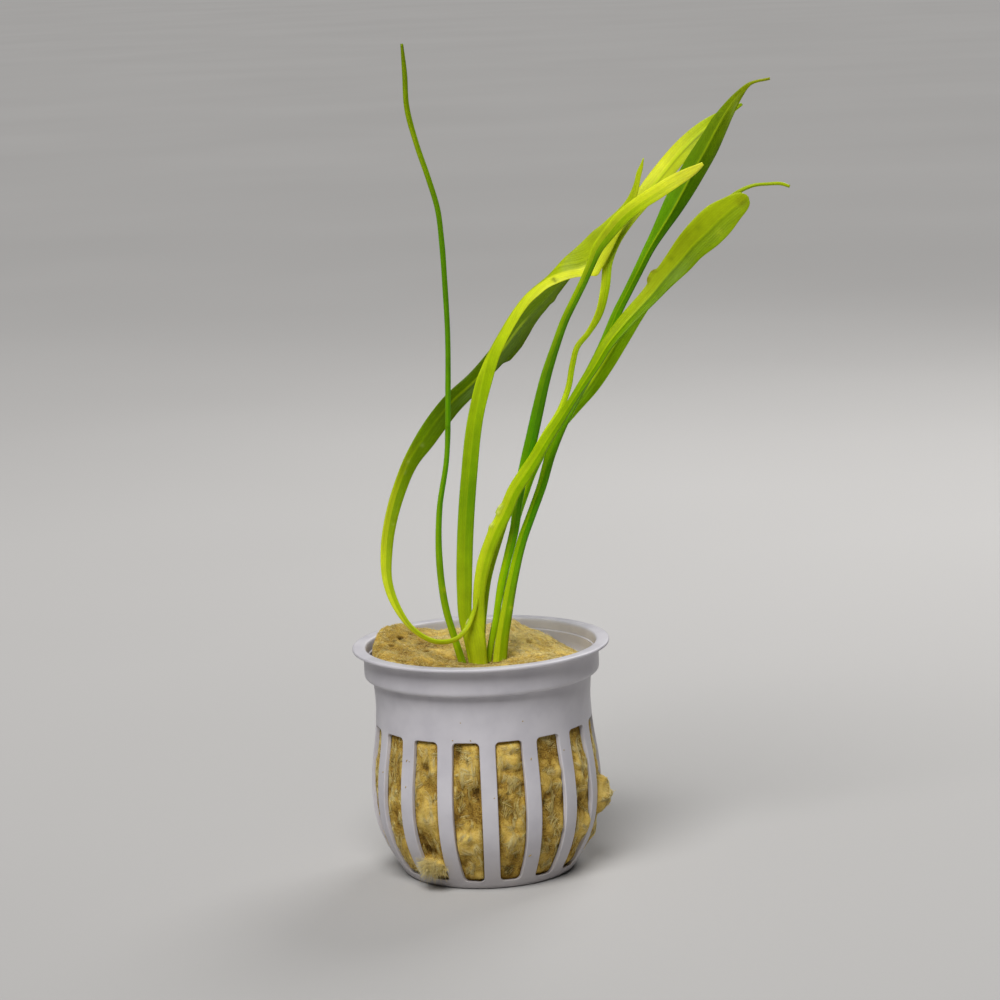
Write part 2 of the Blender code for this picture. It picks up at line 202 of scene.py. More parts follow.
def piece(name, points, faces, finish, stands_for=(), layers=None, sharp=None):
    """A finished piece: points in mm, faces of four corners, and layers of values on the points."""
    used, index = np.unique(faces, return_inverse=True)
    mesh = bpy.data.meshes.new(name)
    mesh.from_pydata((points[used] * MM).tolist(), [], index.reshape(faces.shape).tolist())
    for layer, values in (layers or {}).items():
        values = np.asarray(values, float)[used]
        kind = "FLOAT" if values.ndim == 1 else "FLOAT_COLOR"
        attribute = mesh.attributes.new(layer, kind, "POINT")
        attribute.data.foreach_set("value" if values.ndim == 1 else "color", values.ravel())
    shape = bmesh.new()
    shape.from_mesh(mesh)
    bmesh.ops.remove_doubles(shape, verts=shape.verts, dist=1e-7)
    bmesh.ops.recalc_face_normals(shape, faces=shape.faces)
    shape.to_mesh(mesh)
    shape.free()
    mesh.shade_smooth()
    if sharp:
        mesh.set_sharp_from_angle(angle=math.radians(sharp))
    mesh.materials.append(finish)
    made = bpy.data.objects.new(name, mesh)
    bpy.context.scene.collection.objects.link(made)
    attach(made, "root")
    if stands_for:
        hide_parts(*stands_for)
    print(f"{name}: {len(mesh.vertices)} points, {len(mesh.polygons)} faces")
    return made


# %% [markdown]
# ## The pot
#
# The pot is one injection moulding of polypropylene, with a wall of one millimetre. Its slots could be cut
# with Booleans, but then no grid line would follow their rounded corners. Here the wall is two skins, an
# outer and an inner one, on the same grid. The faces in the slots are left out, and the columns are
# moved so that they follow each slot's edge. Two more layers between the skins, with the slot at its true
# size, give every slot edge its small moulded chamfer.

# %% The pot's measures
WALL_THICK = 1.0
FLOOR_THICK = 1.2
WALL = [
    (18.1, 0.6), (19.3, 2.2), (21.3, 5.5), (23.3, 10.5), (24.2, 16.0), (24.0, 22.5), (23.0, 30.0),
    (22.6, 35.5), (22.9, 40.4), (23.5, 42.2),
]
SLOTS = 16
PITCH = 2 * math.pi / SLOTS
RIB_WIDTH = 3.3
SLOT_TOP = 32.3
SLOT_FOOT = 2.0
SLOT_CORNER = 0.9
RIB_TURN = math.radians(1.5)
SPOKE_WIDTH = 3.0
WINDOW_REACH = (7.0, 14.5)
CHAMFER = 0.13
# Edges that bend more than this, in degrees, stay sharp.
SHARP_EDGE = 38
# Columns of faces over half a rib and over a slot, and rows over a slot's corner and its straight side.
HALF_RIB, SLOT_COLUMNS = 2, 10
CORNER_ROWS, SIDE_ROWS = 5, 18
# Outside and inside of the pot above the slots, as radius and height, up to the middle of the lip's edge.
COLLAR_OUTSIDE = [
    (22.73, 33.8), (22.62, 35.5), (22.64, 37.5), (22.78, 39.5), (22.95, 41.2), (23.02, 41.9), (23.06, 42.1),
    (23.2, 42.2), (23.6, 42.22), (24.1, 42.25), (24.4, 42.36), (24.6, 42.6), (24.69, 43.0), (24.7, 43.5),
    (24.7, 45.0), (24.72, 46.6), (24.76, 47.3), (24.88, 47.68), (25.1, 47.86), (25.4, 47.9), (26.2, 47.9),
    (26.7, 47.93), (26.92, 48.05), (26.99, 48.2),
]
COLLAR_INSIDE = [
    (21.73, 33.8), (21.62, 35.5), (21.64, 37.5), (21.78, 39.5), (22.0, 41.2), (22.5, 42.4), (23.2, 43.1),
    (23.55, 43.9), (23.66, 44.9), (23.7, 46.3), (23.72, 46.42), (23.86, 46.48), (23.96, 46.55), (23.98, 46.7),
    (24.05, 47.4), (24.15, 48.1), (24.25, 48.42), (24.42, 48.6), (24.7, 48.68), (25.4, 48.7), (26.5, 48.7),
    (26.8, 48.66), (26.95, 48.54), (27.0, 48.4),
]
print(f"wall {WALL_THICK} mm, {SLOTS} slots, ribs {RIB_WIDTH} mm wide, lip 54 mm across")


# %% The pot's layers
def wall_radius(height):
    """Outer radius of the slotted wall at a height, as a smooth curve through the wall's points."""
    radii, heights = np.array(WALL).T
    return hermite(heights, radii, np.clip(height, heights[0], heights[-1]))


def spread_columns(edge, total, inner):
    """Angles over one repeat: even steps to the rib's edge, across the gap, and on to the next middle."""
    start = np.linspace(0.0, 1.0, HALF_RIB + 1)[:-1] * edge[:, None]
    gap = edge[:, None] + np.linspace(0.0, 1.0, inner + 1)[:-1] * (total - 2 * edge)[:, None]
    end = total - edge[:, None] + np.linspace(0.0, 1.0, HALF_RIB + 1)[:-1] * edge[:, None]
    return np.concatenate([start, gap, end], axis=1)


def pot_layer(spread, depth, top):
    """One layer of the pot as (rows, columns, xyz), from the middle of the floor to the end of the top.

    A layer lies at a depth in the wall, and its slots are wider and higher by the spread. In a slot's
    corner the rows follow r(1 - cos) while the rib's half width grows by r(1 - sin)."""
    share = depth / WALL_THICK
    corner = SLOT_CORNER + spread
    turn = np.linspace(0.0, math.pi / 2, CORNER_ROWS + 1)
    foot, head = SLOT_FOOT - spread, SLOT_TOP + spread
    side = np.linspace(foot + corner, head - corner, SIDE_ROWS + 1)[1:-1]
    heights = np.concatenate([foot + corner * (1 - np.cos(turn)), side,
                              head - corner * (1 - np.cos(turn[::-1]))])
    pinch = np.concatenate([corner * (1 - np.sin(turn)), 0 * side, corner * (1 - np.sin(turn[::-1]))])
    radii = wall_radius(heights) - depth
    rib = RIB_WIDTH / 2 - spread + pinch
    inner_edge, outer_edge = WINDOW_REACH[0] - spread, WINDOW_REACH[1] + spread
    floor = np.array([0.0, 2.0, 4.5, inner_edge, 9.5, 12.0, outer_edge])
    outside = np.array([(15.8, 0.0), (16.9, 0.0), (17.7, 0.12), (18.2, 0.5), (18.65, 1.1)])
    inside = np.array([(15.5, 1.2), (16.2, 1.2), (16.9, 1.25), (17.4, 1.4), (17.75, 1.65)])
    foot_ring = outside + (inside - outside) * share
    spoke = np.arcsin(np.minimum((SPOKE_WIDTH / 2 - spread) / np.maximum(floor, 0.1), 0.35))
    floor_angles = spread_columns(spoke, 2 * PITCH, 2 * SLOT_COLUMNS + 2 * HALF_RIB)
    top = np.array(top).reshape(-1, 2)
    upper = np.concatenate([foot_ring[:, 0], radii, top[:, 0]])
    widths = np.concatenate([np.full(len(foot_ring), rib[0]), rib, np.full(len(top), rib[-1])])
    wall_angles = spread_columns(np.arcsin(widths / upper), PITCH, SLOT_COLUMNS)
    wall_angles = np.concatenate([wall_angles, wall_angles + PITCH], axis=1)
    angles = np.concatenate([floor_angles, wall_angles])
    sectors = np.arange(SLOTS // 2)[None, :, None] * 2 * PITCH
    angles = (angles[:, None, :] + sectors).reshape(len(angles), -1)
    angles = np.concatenate([angles, angles[:, :1] + 2 * math.pi], axis=1) + RIB_TURN - math.pi / 2
    radius = np.concatenate([floor, upper])[:, None]
    height = np.concatenate([0 * floor + FLOOR_THICK * share, foot_ring[:, 1], heights, top[:, 1]])
    height = height[:, None] + 0 * angles
    return np.stack([radius * np.cos(angles), radius * np.sin(angles), height], axis=-1)


# %% The pot's faces
def in_slot(rows, columns):
    """True for a face of the grid that lies in a slot or in a window of the floor."""
    row = np.arange(rows)[:, None]
    column = np.arange(columns)[None, :]
    repeat = 2 * HALF_RIB + SLOT_COLUMNS
    in_gap = (column % repeat >= HALF_RIB) & (column % repeat < HALF_RIB + SLOT_COLUMNS)
    in_window = (column % (2 * repeat) >= HALF_RIB) & (column % (2 * repeat) < 2 * repeat - HALF_RIB)
    # The rows count from the middle of the floor: its windows come first, then the foot and the slots.
    window_start, window_end, slot_start = 3, 6, 12
    slot_end = slot_start + 2 * CORNER_ROWS + SIDE_ROWS
    in_slots = in_gap & (row >= slot_start) & (row < slot_end)
    return in_slots | in_window & (row >= window_start) & (row < window_end)


def pot_surface():
    """Both skins without the slots' faces, three strips round every slot, and the lip's edge."""
    layers = [
        pot_layer(CHAMFER, 0.0, COLLAR_OUTSIDE),
        pot_layer(0.0, CHAMFER, []),
        pot_layer(0.0, WALL_THICK - CHAMFER, []),
        pot_layer(CHAMFER, WALL_THICK, COLLAR_INSIDE),
    ]
    columns = layers[0].shape[1]
    starts = np.cumsum([0] + [layer.shape[0] * columns for layer in layers])
    faces = []
    for layer, start in ((layers[0], starts[0]), (layers[3], starts[3])):
        open_face = in_slot(layer.shape[0] - 1, columns - 1).ravel()
        faces.append(grid_faces(layer.shape[0], columns)[~open_face] + start)
    hole = in_slot(layers[1].shape[0] - 1, columns - 1)
    numbers = np.arange(layers[1].shape[0] * columns).reshape(-1, columns)
    across = hole[1:] != hole[:-1]
    along = hole[:, 1:] != hole[:, :-1]
    first = np.concatenate([numbers[1:-1, :-1][across], numbers[:-1, 1:-1][along]])
    second = np.concatenate([numbers[1:-1, 1:][across], numbers[1:, 1:-1][along]])
    # The slots' top row is the last of the middle layers, so its faces are found from the outer skin.
    rim = in_slot(layers[0].shape[0] - 1, columns - 1)[layers[1].shape[0] - 2]
    first = np.concatenate([first, numbers[-1, :-1][rim]])
    second = np.concatenate([second, numbers[-1, 1:][rim]])
    for low, high in zip(starts[:3], starts[1:4]):
        faces.append(np.stack([first + low, second + low, second + high, first + high], axis=-1))
    outer_end = starts[1] - columns + np.arange(columns - 1)
    inner_end = starts[4] - columns + np.arange(columns - 1)
    faces.append(np.stack([outer_end, outer_end + 1, inner_end + 1, inner_end], axis=-1))
    return np.concatenate([layer.reshape(-1, 3) for layer in layers]), np.concatenate(faces)


# %% [markdown]
# Polypropylene is a little milky: light goes a short way into it, so thin edges look brighter than the
# wall. A mould gives it a satin surface with a very fine grain. The grain is about 0.3 mm here, a little
# coarser than the real one, so that it shows. Handling leaves faint cloudy stains, a few
# millimetres wide, and the pot turns a little darker and browner towards the foot.


# %% Moulded polypropylene
def moulded_polypropylene():
    made, tree, output = new_material("moulded_polypropylene")
    place = add(tree, "ShaderNodeTexCoord").outputs["Object"]
    height = add(tree, "ShaderNodeSeparateXYZ", {0: place}).outputs["Z"]
    stain_size = 7.0 * MM
    stains = add(tree, "ShaderNodeTexNoise", {"Vector": place, "Scale": 1 / stain_size, "Detail": 3.0})
    stained = add(tree, "ShaderNodeValToRGB", {0: stains.outputs["Fac"]},
                  stops=[(0.3, "#BDBAC0"), (0.55, "#C8C5CA"), (0.8, "#CECBCF")])
    # The colour turns a little darker and browner towards the foot.
    darker_to_foot = add(tree, "ShaderNodeMapRange", {"Value": height, "From Min": 0.0, "From Max": 14 * MM,
                                             "To Min": 0.35, "To Max": 0.0})
    colour = mixed(tree, darker_to_foot.outputs[0], stained.outputs[0], linear("#A0968A"))
    grain_size = 0.3 * MM
    grain = add(tree, "ShaderNodeTexNoise", {"Vector": place, "Scale": 1 / grain_size, "Detail": 2.0})
    bump = add(tree, "ShaderNodeBump", {"Height": grain.outputs["Fac"], "Strength": 0.12,
                                        "Distance": 0.03 * MM})
    shine = add(tree, "ShaderNodeMapRange", {"Value": stains.outputs["Fac"], "To Min": 0.36, "To Max": 0.5})
    shader = add(tree, "ShaderNodeBsdfPrincipled", {
        "Base Color": colour, "Roughness": shine.outputs[0], "IOR": 1.49,
        "Subsurface Weight": 0.15, "Subsurface Radius": (1.0, 0.95, 0.9), "Subsurface Scale": 1.2 * MM,
        "Normal": bump.outputs[0]})
    tree.links.new(shader.outputs[0], output.inputs[0])
    return made


pot_points, pot_faces = pot_surface()
piece("slotted_pot", pot_points, pot_faces, moulded_polypropylene(), ["net_pot"],
      sharp=SHARP_EDGE)

# %% [markdown]
# ## The rock wool
#
# Rock wool is spun stone: a felt of fine fibres, ochre from its binder. The plug is one closed surface that
# goes over the mound, down inside the wall and under the foot. Its rim is high at the back left, where it
# stands over the lip, and low at the right, so the rim's height is a closed curve round the plug. In every
# slot the felt swells through the gap in puffs. A puff is the size of a noise that crosses zero, which gives
# round lumps with sharp creases between them. The same puffs are kept as a layer of values, which paints
# light and shade into the colour: what stands out is painted pale as lit, and what lies deep is painted brown
# as shade.

# %% The wool's measures
WOOL_EDGE = 22.9
WOOL_MIDDLE = 46.2
# Radius at which the side's noise is read, the gap inside the wall, and the side's and the underside's foot.
FELT_RADIUS = 23.5
WOOL_GAP = 0.12
WOOL_FOOT, WOOL_UNDERSIDE = 1.7, 1.5
# Height of the mound's rim, anticlockwise from the right, as degrees and mm.
WOOL_RIM = [
    (-30, 43.4), (0, 43.3), (27, 43.9), (42, 45.0), (54, 46.6), (64, 47.1), (73, 48.8), (83, 48.0),
    (97, 47.3), (108, 47.4), (118, 47.8), (126, 48.9), (137, 49.9), (146, 50.8), (155, 50.9), (164, 50.3),
    (174, 49.2), (190, 48.2), (225, 46.4), (270, 44.8), (310, 43.6), (330, 43.4), (360, 43.3), (387, 44.1),
]
# Humps and pits of the mound: middle x, y, height (a pit's is negative) and radius.
MOUNDS = [
    (6.3, 18.6, 1.2, 3.0), (0.3, -3.0, -2.0, 5.0), (11.0, 9.5, 1.5, 4.5), (-9.5, 3.0, 0.9, 3.6),
    (-3.0, 12.5, 1.0, 4.0), (-11.0, 13.5, -1.1, 3.2), (-17.5, 8.0, 0.8, 4.0), (16.5, 10.0, -0.7, 2.6),
    (5.0, 9.0, -0.8, 2.6),
    (16.0, -4.0, 0.7, 4.0), (-13.0, -8.0, 0.8, 4.5), (10.2, 7.4, -1.7, 0.42), (6.9, 15.4, -1.3, 0.4),
    (-17.0, 4.6, -1.7, 0.5), (-12.2, 8.6, -1.1, 0.45), (-19.3, 10.4, -1.1, 0.4), (3.9, 6.5, -1.0, 0.35),
    (-11.5, -1.0, -1.0, 0.4), (14.6, 2.2, -1.0, 0.35),
    (-18.8, 1.5, -0.9, 0.35), (-15.6, -2.5, -0.9, 0.4), (-12.9, 3.2, -0.8, 0.35), (-8.2, 6.0, -0.9, 0.35),
    (-14.8, 7.0, -0.9, 0.3), (7.9, 3.5, -0.8, 0.3), (17.9, 6.1, -0.8, 0.35), (-9.8, -6.5, -0.7, 0.3),
]
# Lumps and hollows in the slots: slot number from the front, height, reach, half width in radians and half
# height.
LUMPS = [
    (3, 8.5, 1.0, 0.09, 4.5), (2.1, 20.0, 1.2, 0.09, 2.6), (2, 11.0, 0.6, 0.09, 2.8),
    (1, 25.0, 0.3, 0.09, 4.0), (0.07, 20.2, 0.4, 0.05, 4.0), (0, 11.0, 0.4, 0.09, 4.0),
    (14.04, 17.8, 1.2, 0.10, 2.8),
    (14.16, 13.5, 0.6, 0.08, 2.0), (13, 8.0, 0.3, 0.10, 3.0), (15, 25.5, 1.0, 0.10, 3.8),
    (0, 27.5, 0.7, 0.10, 3.0), (14.9, 12.0, 0.5, 0.07, 2.2), (5, 12.0, 0.9, 0.10, 4.0),
    (7, 20.0, 0.7, 0.10, 4.0), (9, 10.0, 0.9, 0.10, 4.0), (10, 22.0, 0.7, 0.10, 5.0),
    (6, 7.0, 0.8, 0.10, 3.0),
    (14.19, 22.6, -0.8, 0.05, 2.2), (13.9, 8.4, -1.2, 0.10, 1.3), (15.24, 21.5, -1.0, 0.05, 1.5),
    (15.97, 26.5, -0.6, 0.03, 1.4), (15.69, 20.0, -0.7, 0.035, 1.3), (0.81, 18.7, -0.9, 0.02, 0.8),
    (1.94, 16.2, -1.5, 0.05, 1.8), (1.27, 8.4, -0.5, 0.05, 1.0),
]
# Bulbs stand right out of the slots, over the ribs' edges, with the same five numbers.
BULBS = [(3.05, 15.6, 2.6, 0.135, 4.2), (13.92, 5.4, 1.3, 0.19, 1.9)]


# %% The wool's shape
def puffs(x, y, z, size):
    """Round lumps from 0 to about 1.6 with creases between them: twice the size of the noise."""
    return 2 * np.abs(noise(x, y, z, size))


def wool_top(x, y):
    """Height of the mound: it rises to the rim's curve by the power 1.7, with humps and a round edge."""
    radius = np.hypot(x, y)
    degrees, heights = np.array(WOOL_RIM).T
    rim = hermite(degrees, heights, (np.degrees(np.arctan2(y, x)) + 25) % 360 - 25)
    level = WOOL_MIDDLE + (rim - WOOL_MIDDLE) * np.clip(radius / WOOL_EDGE, 0.0, 1.0) ** 1.7
    for middle_x, middle_y, rise, reach in MOUNDS:
        level = level + rise * np.exp(-((x - middle_x) ** 2 + (y - middle_y) ** 2) / reach**2)
    edge = np.clip((radius - WOOL_EDGE + 2.8) / 2.8, 0.0, 1.0)
    fine = 0.5 * noise(x, y, 0.0, 3.6) + 0.2 * noise(x, y, 3.0, 1.8) + 0.08 * noise(x, y, 7.0, 0.8)
    return level + fine + 0.1 - 1.5 * (1 - np.sqrt(np.clip(1 - edge**2, 0.0, 1.0)))


def top_painted_light_shade(x, y):
    """What the mound's colour reads, as painted light and shade: pale on lumps, at the right and in a glow
    behind the stems, and brown as shade in pits and round the stems.
    """
    relief = 0.5 * noise(x, y, 0.0, 3.6) + 0.4 * noise(x, y, 3.0, 1.8) + 0.2 * noise(x, y, 7.0, 0.8) - 0.04
    # Painted light: the right side and two patches, behind and to the right of the stems, are painted pale.
    relief = relief + 0.3 * step(4.0, 14.0, x) + 0.6 * np.exp(-((x - 9.0) ** 2 + (y - 8.0) ** 2) / 30.0)
    relief = relief + 2.2 * np.exp(-((x - 0.5) ** 2 + (y - 15.0) ** 2) / 90.0)
    # Painted shade round the stems' feet and in the small pits.
    relief = relief - 0.8 * np.exp(-((x - 0.3) ** 2 + (y + 3.0) ** 2) / 22.0)
    for middle_x, middle_y, rise, reach in MOUNDS:
        if rise < 0 and reach < 1.0:
            relief = relief - 3.0 * np.exp(-((x - middle_x) ** 2 + (y - middle_y) ** 2) / reach**2)
    return relief


def slot_room(angle, height):
    """1 in the middle of a slot and 0 behind a rib, and the angle that is measured from the first rib."""
    from_rib = (angle - RIB_TURN + math.pi / 2) % (2 * math.pi)
    middle = from_rib - (np.floor(from_rib / PITCH) + 0.5) * PITCH
    arc = np.abs(middle) / (PITCH / 2 - RIB_WIDTH / 2 / wall_radius(height))
    room = 1 - step(0.78, 1.04, arc)
    room = room * step(SLOT_FOOT, SLOT_FOOT + 1.2, height) * (1 - step(SLOT_TOP - 1.3, SLOT_TOP, height))
    return room, from_rib


def wool_swell(angle, height):
    """How far the felt swells in the slots: soft noise of four sizes, puffs, lumps and bulbs."""
    x, y = FELT_RADIUS * np.cos(angle), FELT_RADIUS * np.sin(angle)
    swell = 0.3 + 0.6 * noise(x, y, height, 6.0) - 0.2 * step(24.0, 31.0, height)
    swell = swell + 0.6 * noise(x, y, 0.7 * height, 2.6) + 0.45 * puffs(x, y, 0.7 * height, 2.2)
    swell = swell + 0.22 * noise(x, y, 0.5 * height, 1.1) + 0.08 * noise(x, y, height, 0.7)
    room, from_rib = slot_room(angle, height)
    # The felt is pressed flatter on the left side, in slots 12 and 13, and a little in slot 1.
    place = from_rib / PITCH
    flat = np.exp(-(((place - 12.9) / 1.1) ** 2)) + 0.8 * np.exp(-(((place - 1.5) / 0.5) ** 2))
    swell = room * (swell * (1 - 0.6 * flat) + 0.1 * flat)
    for places, power in ((LUMPS, 0.0), (BULBS, 0.62)):
        for number, middle, reach, wide, tall in places:
            away = (from_rib - (number + 0.5) * PITCH + math.pi) % (2 * math.pi) - math.pi
            far = (away / wide) ** 2 + ((height - middle) / tall) ** 2
            dome = np.clip(1 - far, 0.0, 1.0) ** power if power else room * np.exp(-far)
            swell = swell + reach * dome * (0.88 + 0.2 * puffs(x, y, height, 1.9) * (power > 0))
    return swell


def wool_radius(angle, height):
    """Radius of the plug's side: the wall's inside and the swell."""
    inside = wall_radius(height) - WALL_THICK - WOOL_GAP + 0.55 * step(41.0, 45.0, height)
    return inside + wool_swell(angle, height)


def side_painted_light_shade(angle, height):
    """What the side's colour reads: pale where the felt stands out and brown where it lies deep, as painted
    light and shade.
    """
    x, y = FELT_RADIUS * np.cos(angle), FELT_RADIUS * np.sin(angle)
    # Painted light and shade: the colour follows the swell.
    return 0.9 * (np.minimum(wool_swell(angle, height), 1.2) - 0.5) + 0.3 * noise(x, y, height, 1.2)


# %% The wool's surface
TOP_ROWS, SIDE_STEPS, WOOL_ANGLES = 62, 122, 417


def wool_surface():
    """A grid of (rows, angles): rings over the mound, rows down the side, and rings under the foot."""
    angle = np.linspace(0.0, 2 * math.pi, WOOL_ANGLES)[None, :]
    ring = (np.linspace(0.0, 1.0, TOP_ROWS) ** 0.85 * WOOL_EDGE)[:, None]
    top_x, top_y = ring * np.cos(angle), ring * np.sin(angle)
    top = np.stack([top_x, top_y, wool_top(top_x, top_y)], axis=-1)
    rim = top[-1, :, 2][None, :]
    share = np.linspace(0.0, 1.0, SIDE_STEPS)[1:, None]
    height = rim + (WOOL_FOOT - rim) * share
    radius = WOOL_EDGE + (wool_radius(angle, height) - WOOL_EDGE) * step(0.0, 0.04, share)
    side = np.stack([radius * np.cos(angle), radius * np.sin(angle), height], axis=-1)
    under = side[-1:] * np.array([0.94, 0.5, 0.0])[:, None, None]
    under[..., 2] = WOOL_UNDERSIDE
    points = np.concatenate([top, side, under])
    relief = np.concatenate([top_painted_light_shade(top_x, top_y), side_painted_light_shade(angle, height), 0 * under[..., 0]])
    return points.reshape(-1, 3), grid_faces(*points.shape[:2]), relief.ravel()


# %% [markdown]
# The binder colours the wool from straw to brown, and the same ramp paints its light and shade: it goes
# from the deep places, painted brown as shade, to the pale ones that stand out, painted as lit. Two soft
# noises of the size of a tuft break it up, and fine threads stand for the matted fibres that are not made
# one by one. They are drawn coarser than real fibres, and turn from tuft to tuft, as torn felt does.
# Nothing in the wool shines, and a little light passes through its loose surface.


# %% Rock wool
THREAD_WIDTH, THREAD_LENGTH = 0.42, 3.2


def tuft_threads(tree, place, tuft, shift):
    """Thin threads, 0 to 1, that lie side by side within a tuft, and every tuft has its own direction.

    A cell pattern gives each tuft one random colour, which turns the coordinates. A noise stretched along
    one of the turned axes then becomes a line wherever it passes a half."""
    apart = add(tree, "ShaderNodeVectorMath", {0: place, 1: (shift * MM, shift * MM, shift * MM)}).outputs[0]
    cells = add(tree, "ShaderNodeTexVoronoi", {"Vector": apart, "Scale": 1 / (tuft * MM)})
    spin = add(tree, "ShaderNodeVectorMath", {0: cells.outputs["Color"], "Scale": 2 * math.pi},
               operation="SCALE")
    turned = add(tree, "ShaderNodeVectorRotate", {"Vector": apart, "Rotation": spin.outputs[0]},
                 rotation_type="EULER_XYZ")
    stretch = tuple(1 / (size * MM) for size in (THREAD_WIDTH, THREAD_WIDTH, THREAD_LENGTH))
    long = add(tree, "ShaderNodeMapping", {"Vector": turned.outputs[0], "Scale": stretch})
    lines = add(tree, "ShaderNodeTexNoise", {"Vector": long.outputs[0], "Scale": 1.0, "Detail": 1.0})
    off = maths(tree, "ABSOLUTE", maths(tree, "SUBTRACT", lines.outputs["Fac"], 0.5))
    return fade(tree, off, 0.0, 0.1, 1.0)


def rock_wool_felt(name, layer, stops, fine):
    """Felt: the layer's painted light and shade, soft blotches and fine threads go through one ramp of binder
    colours.
    """
    made, tree, output = new_material(name)
    place = add(tree, "ShaderNodeTexCoord").outputs["Object"]
    relief = add(tree, "ShaderNodeAttribute", attribute_name=layer).outputs["Fac"]
    bend = add(tree, "ShaderNodeTexNoise", {"Vector": place, "Scale": 1 / (2.0 * MM), "Detail": 1.0})
    bent = add(tree, "ShaderNodeVectorMath", {0: bend.outputs["Color"], "Scale": 2.0 * MM},
               operation="SCALE")
    moved = add(tree, "ShaderNodeVectorMath", {0: place, 1: bent.outputs[0]})
    large = tuft_threads(tree, moved.outputs[0], 3.0, 0.0)
    small = tuft_threads(tree, moved.outputs[0], 1.7, 9.0)
    threads = maths(tree, "MAXIMUM", large, small)
    blotches = add(tree, "ShaderNodeTexNoise", {"Vector": place, "Scale": 1 / (1.4 * MM), "Detail": 3.0})
    patches = add(tree, "ShaderNodeTexNoise", {"Vector": place, "Scale": 1 / (4.0 * MM), "Detail": 1.0})
    # The layer's value paints light and shade: pale where the wool stands out, brown where it lies deep.
    value = weighted_sum(tree, 0.12, [(relief, 0.3), (threads, fine), (blotches.outputs["Fac"], 0.34),
                                      (patches.outputs["Fac"], 0.22)])
    colour = add(tree, "ShaderNodeValToRGB", {0: value}, stops=stops)
    bump = add(tree, "ShaderNodeBump", {"Height": threads, "Strength": 0.3, "Distance": 0.12 * MM})
    shader = add(tree, "ShaderNodeBsdfPrincipled", {
        "Base Color": colour.outputs[0], "Roughness": 0.95, "Specular IOR Level": 0.15,
        "Subsurface Weight": 0.35, "Subsurface Radius": (1.0, 0.8, 0.4), "Subsurface Scale": 0.7 * MM,
        "Normal": bump.outputs[0]})
    tree.links.new(shader.outputs[0], output.inputs[0])
    return made


wool_stops = [
    (0.12, "#3E2C0C"), (0.29, "#765820"), (0.42, "#9C7C32"), (0.54, "#BA9A46"), (0.7, "#D0B25C"),
    (0.92, "#E4CC7C"),
]
felt = rock_wool_felt("rock_wool_felt", "relief", wool_stops, 0.2)
wool_points, wool_faces, wool_painted_light_shade = wool_surface()
# The relief layer holds the felt's painted light and shade.
piece("rock_wool_plug", wool_points, wool_faces, felt, ["rock_wool"],
      layers={"relief": wool_painted_light_shade})

# %% [markdown]
# A felt looks soft because of its loose fibres. Hair would be lost when the model is exported, so every
# fibre is a thin three-sided tube. The longer fibres lie in locks, seven side by side in the slots and five
# on the mound, with one turning direction, and arch a little off the felt. Short single fuzz stands between
# them. The paths of each kind are one array. A fibre is drawn as thick as a small lock of real ones, which
# are far too fine to show. It takes the painted light and shade of the felt under it, and it is painted
# paler than the felt, partly as its own colour and partly as a painted highlight for its glint. A few brown
# crumbs of wool cling to the pot.


# %% Fibres
def tubes(paths, radius, sides=3):
    """Thin tubes round many paths at once, (paths, points, xyz), which taper to a point at both ends."""
    forward = unit(np.gradient(paths, axis=1))
    helper = np.where(np.abs(forward[..., 2:]) < 0.8, [0.0, 0.0, 1.0], [1.0, 0.0, 0.0])
    side = unit(np.cross(forward, helper))
    up = np.cross(side, forward)
    share = np.linspace(0.0, 1.0, paths.shape[1])
    taper = np.clip(1 - np.abs(2 * share - 1) ** 3, 0.0, 1.0)[None, :, None, None]
    turn = np.linspace(0.0, 2 * math.pi, sides + 1)[None, None, :, None]
    ring = side[:, :, None] * np.cos(turn) + up[:, :, None] * np.sin(turn)
    points = paths[:, :, None] + ring * taper * np.reshape(radius, (-1, 1, 1, 1))
    block = grid_faces(paths.shape[1], sides + 1)
    starts = np.arange(len(paths))[:, None, None] * paths.shape[1] * (sides + 1)
    return points.reshape(-1, 3), (block[None] + starts).reshape(-1, 4)


def locks(random, count, each, points, length, curl, spread):
    """Steps in a plane for locks of fibres: (count * each, points) ahead and aside, and an arch from 0 to 1.

    The lock has one heading that turns as it goes. Its fibres start beside each other, across the heading,
    and fan out a little."""
    pace = np.linspace(-0.5, 0.5, points)[None, None, :]
    lock = (count, 1, 1)
    fibre = (count, each, 1)
    first = random.uniform(0, 2 * math.pi, lock)
    heading = first + random.normal(0, curl, lock) * pace * 2 + random.normal(0, 0.16, fibre) * (pace + 0.5)
    stride = random.uniform(*length, lock) * random.uniform(0.7, 1.1, fibre) / (points - 1)
    beside = random.normal(0, spread, fibre)
    ahead = np.cumsum(np.cos(heading), axis=2) * stride - np.sin(first) * beside
    aside = np.cumsum(np.sin(heading), axis=2) * stride + np.cos(first) * beside
    arch = (1 - (2 * pace) ** 2) * random.uniform(0.3, 1.0, lock) + 0 * beside
    return ahead.reshape(-1, points), aside.reshape(-1, points), arch.reshape(-1, points)


def top_fibres(random, count, each, points, length, lift):
    """Fibres over the mound, and their shade."""
    radius = np.repeat(WOOL_EDGE * 0.985 * np.sqrt(random.random(count)), each)[:, None]
    angle = np.repeat(random.uniform(0, 2 * math.pi, count), each)[:, None]
    ahead, aside, arch = locks(random, count, each, points, length, 0.8, 0.2)
    x = radius * np.cos(angle) + ahead
    y = radius * np.sin(angle) + aside
    outside = np.maximum(np.hypot(x, y) / (WOOL_EDGE - 0.1), 1.0)
    x, y = x / outside, y / outside
    ends = random.exponential(lift, (len(x), 1)) * np.linspace(0, 1, points) ** 2
    paths = np.stack([x, y, wool_top(x, y) + lift * arch + ends], axis=-1)
    return paths, top_painted_light_shade(x, y).mean(axis=1)


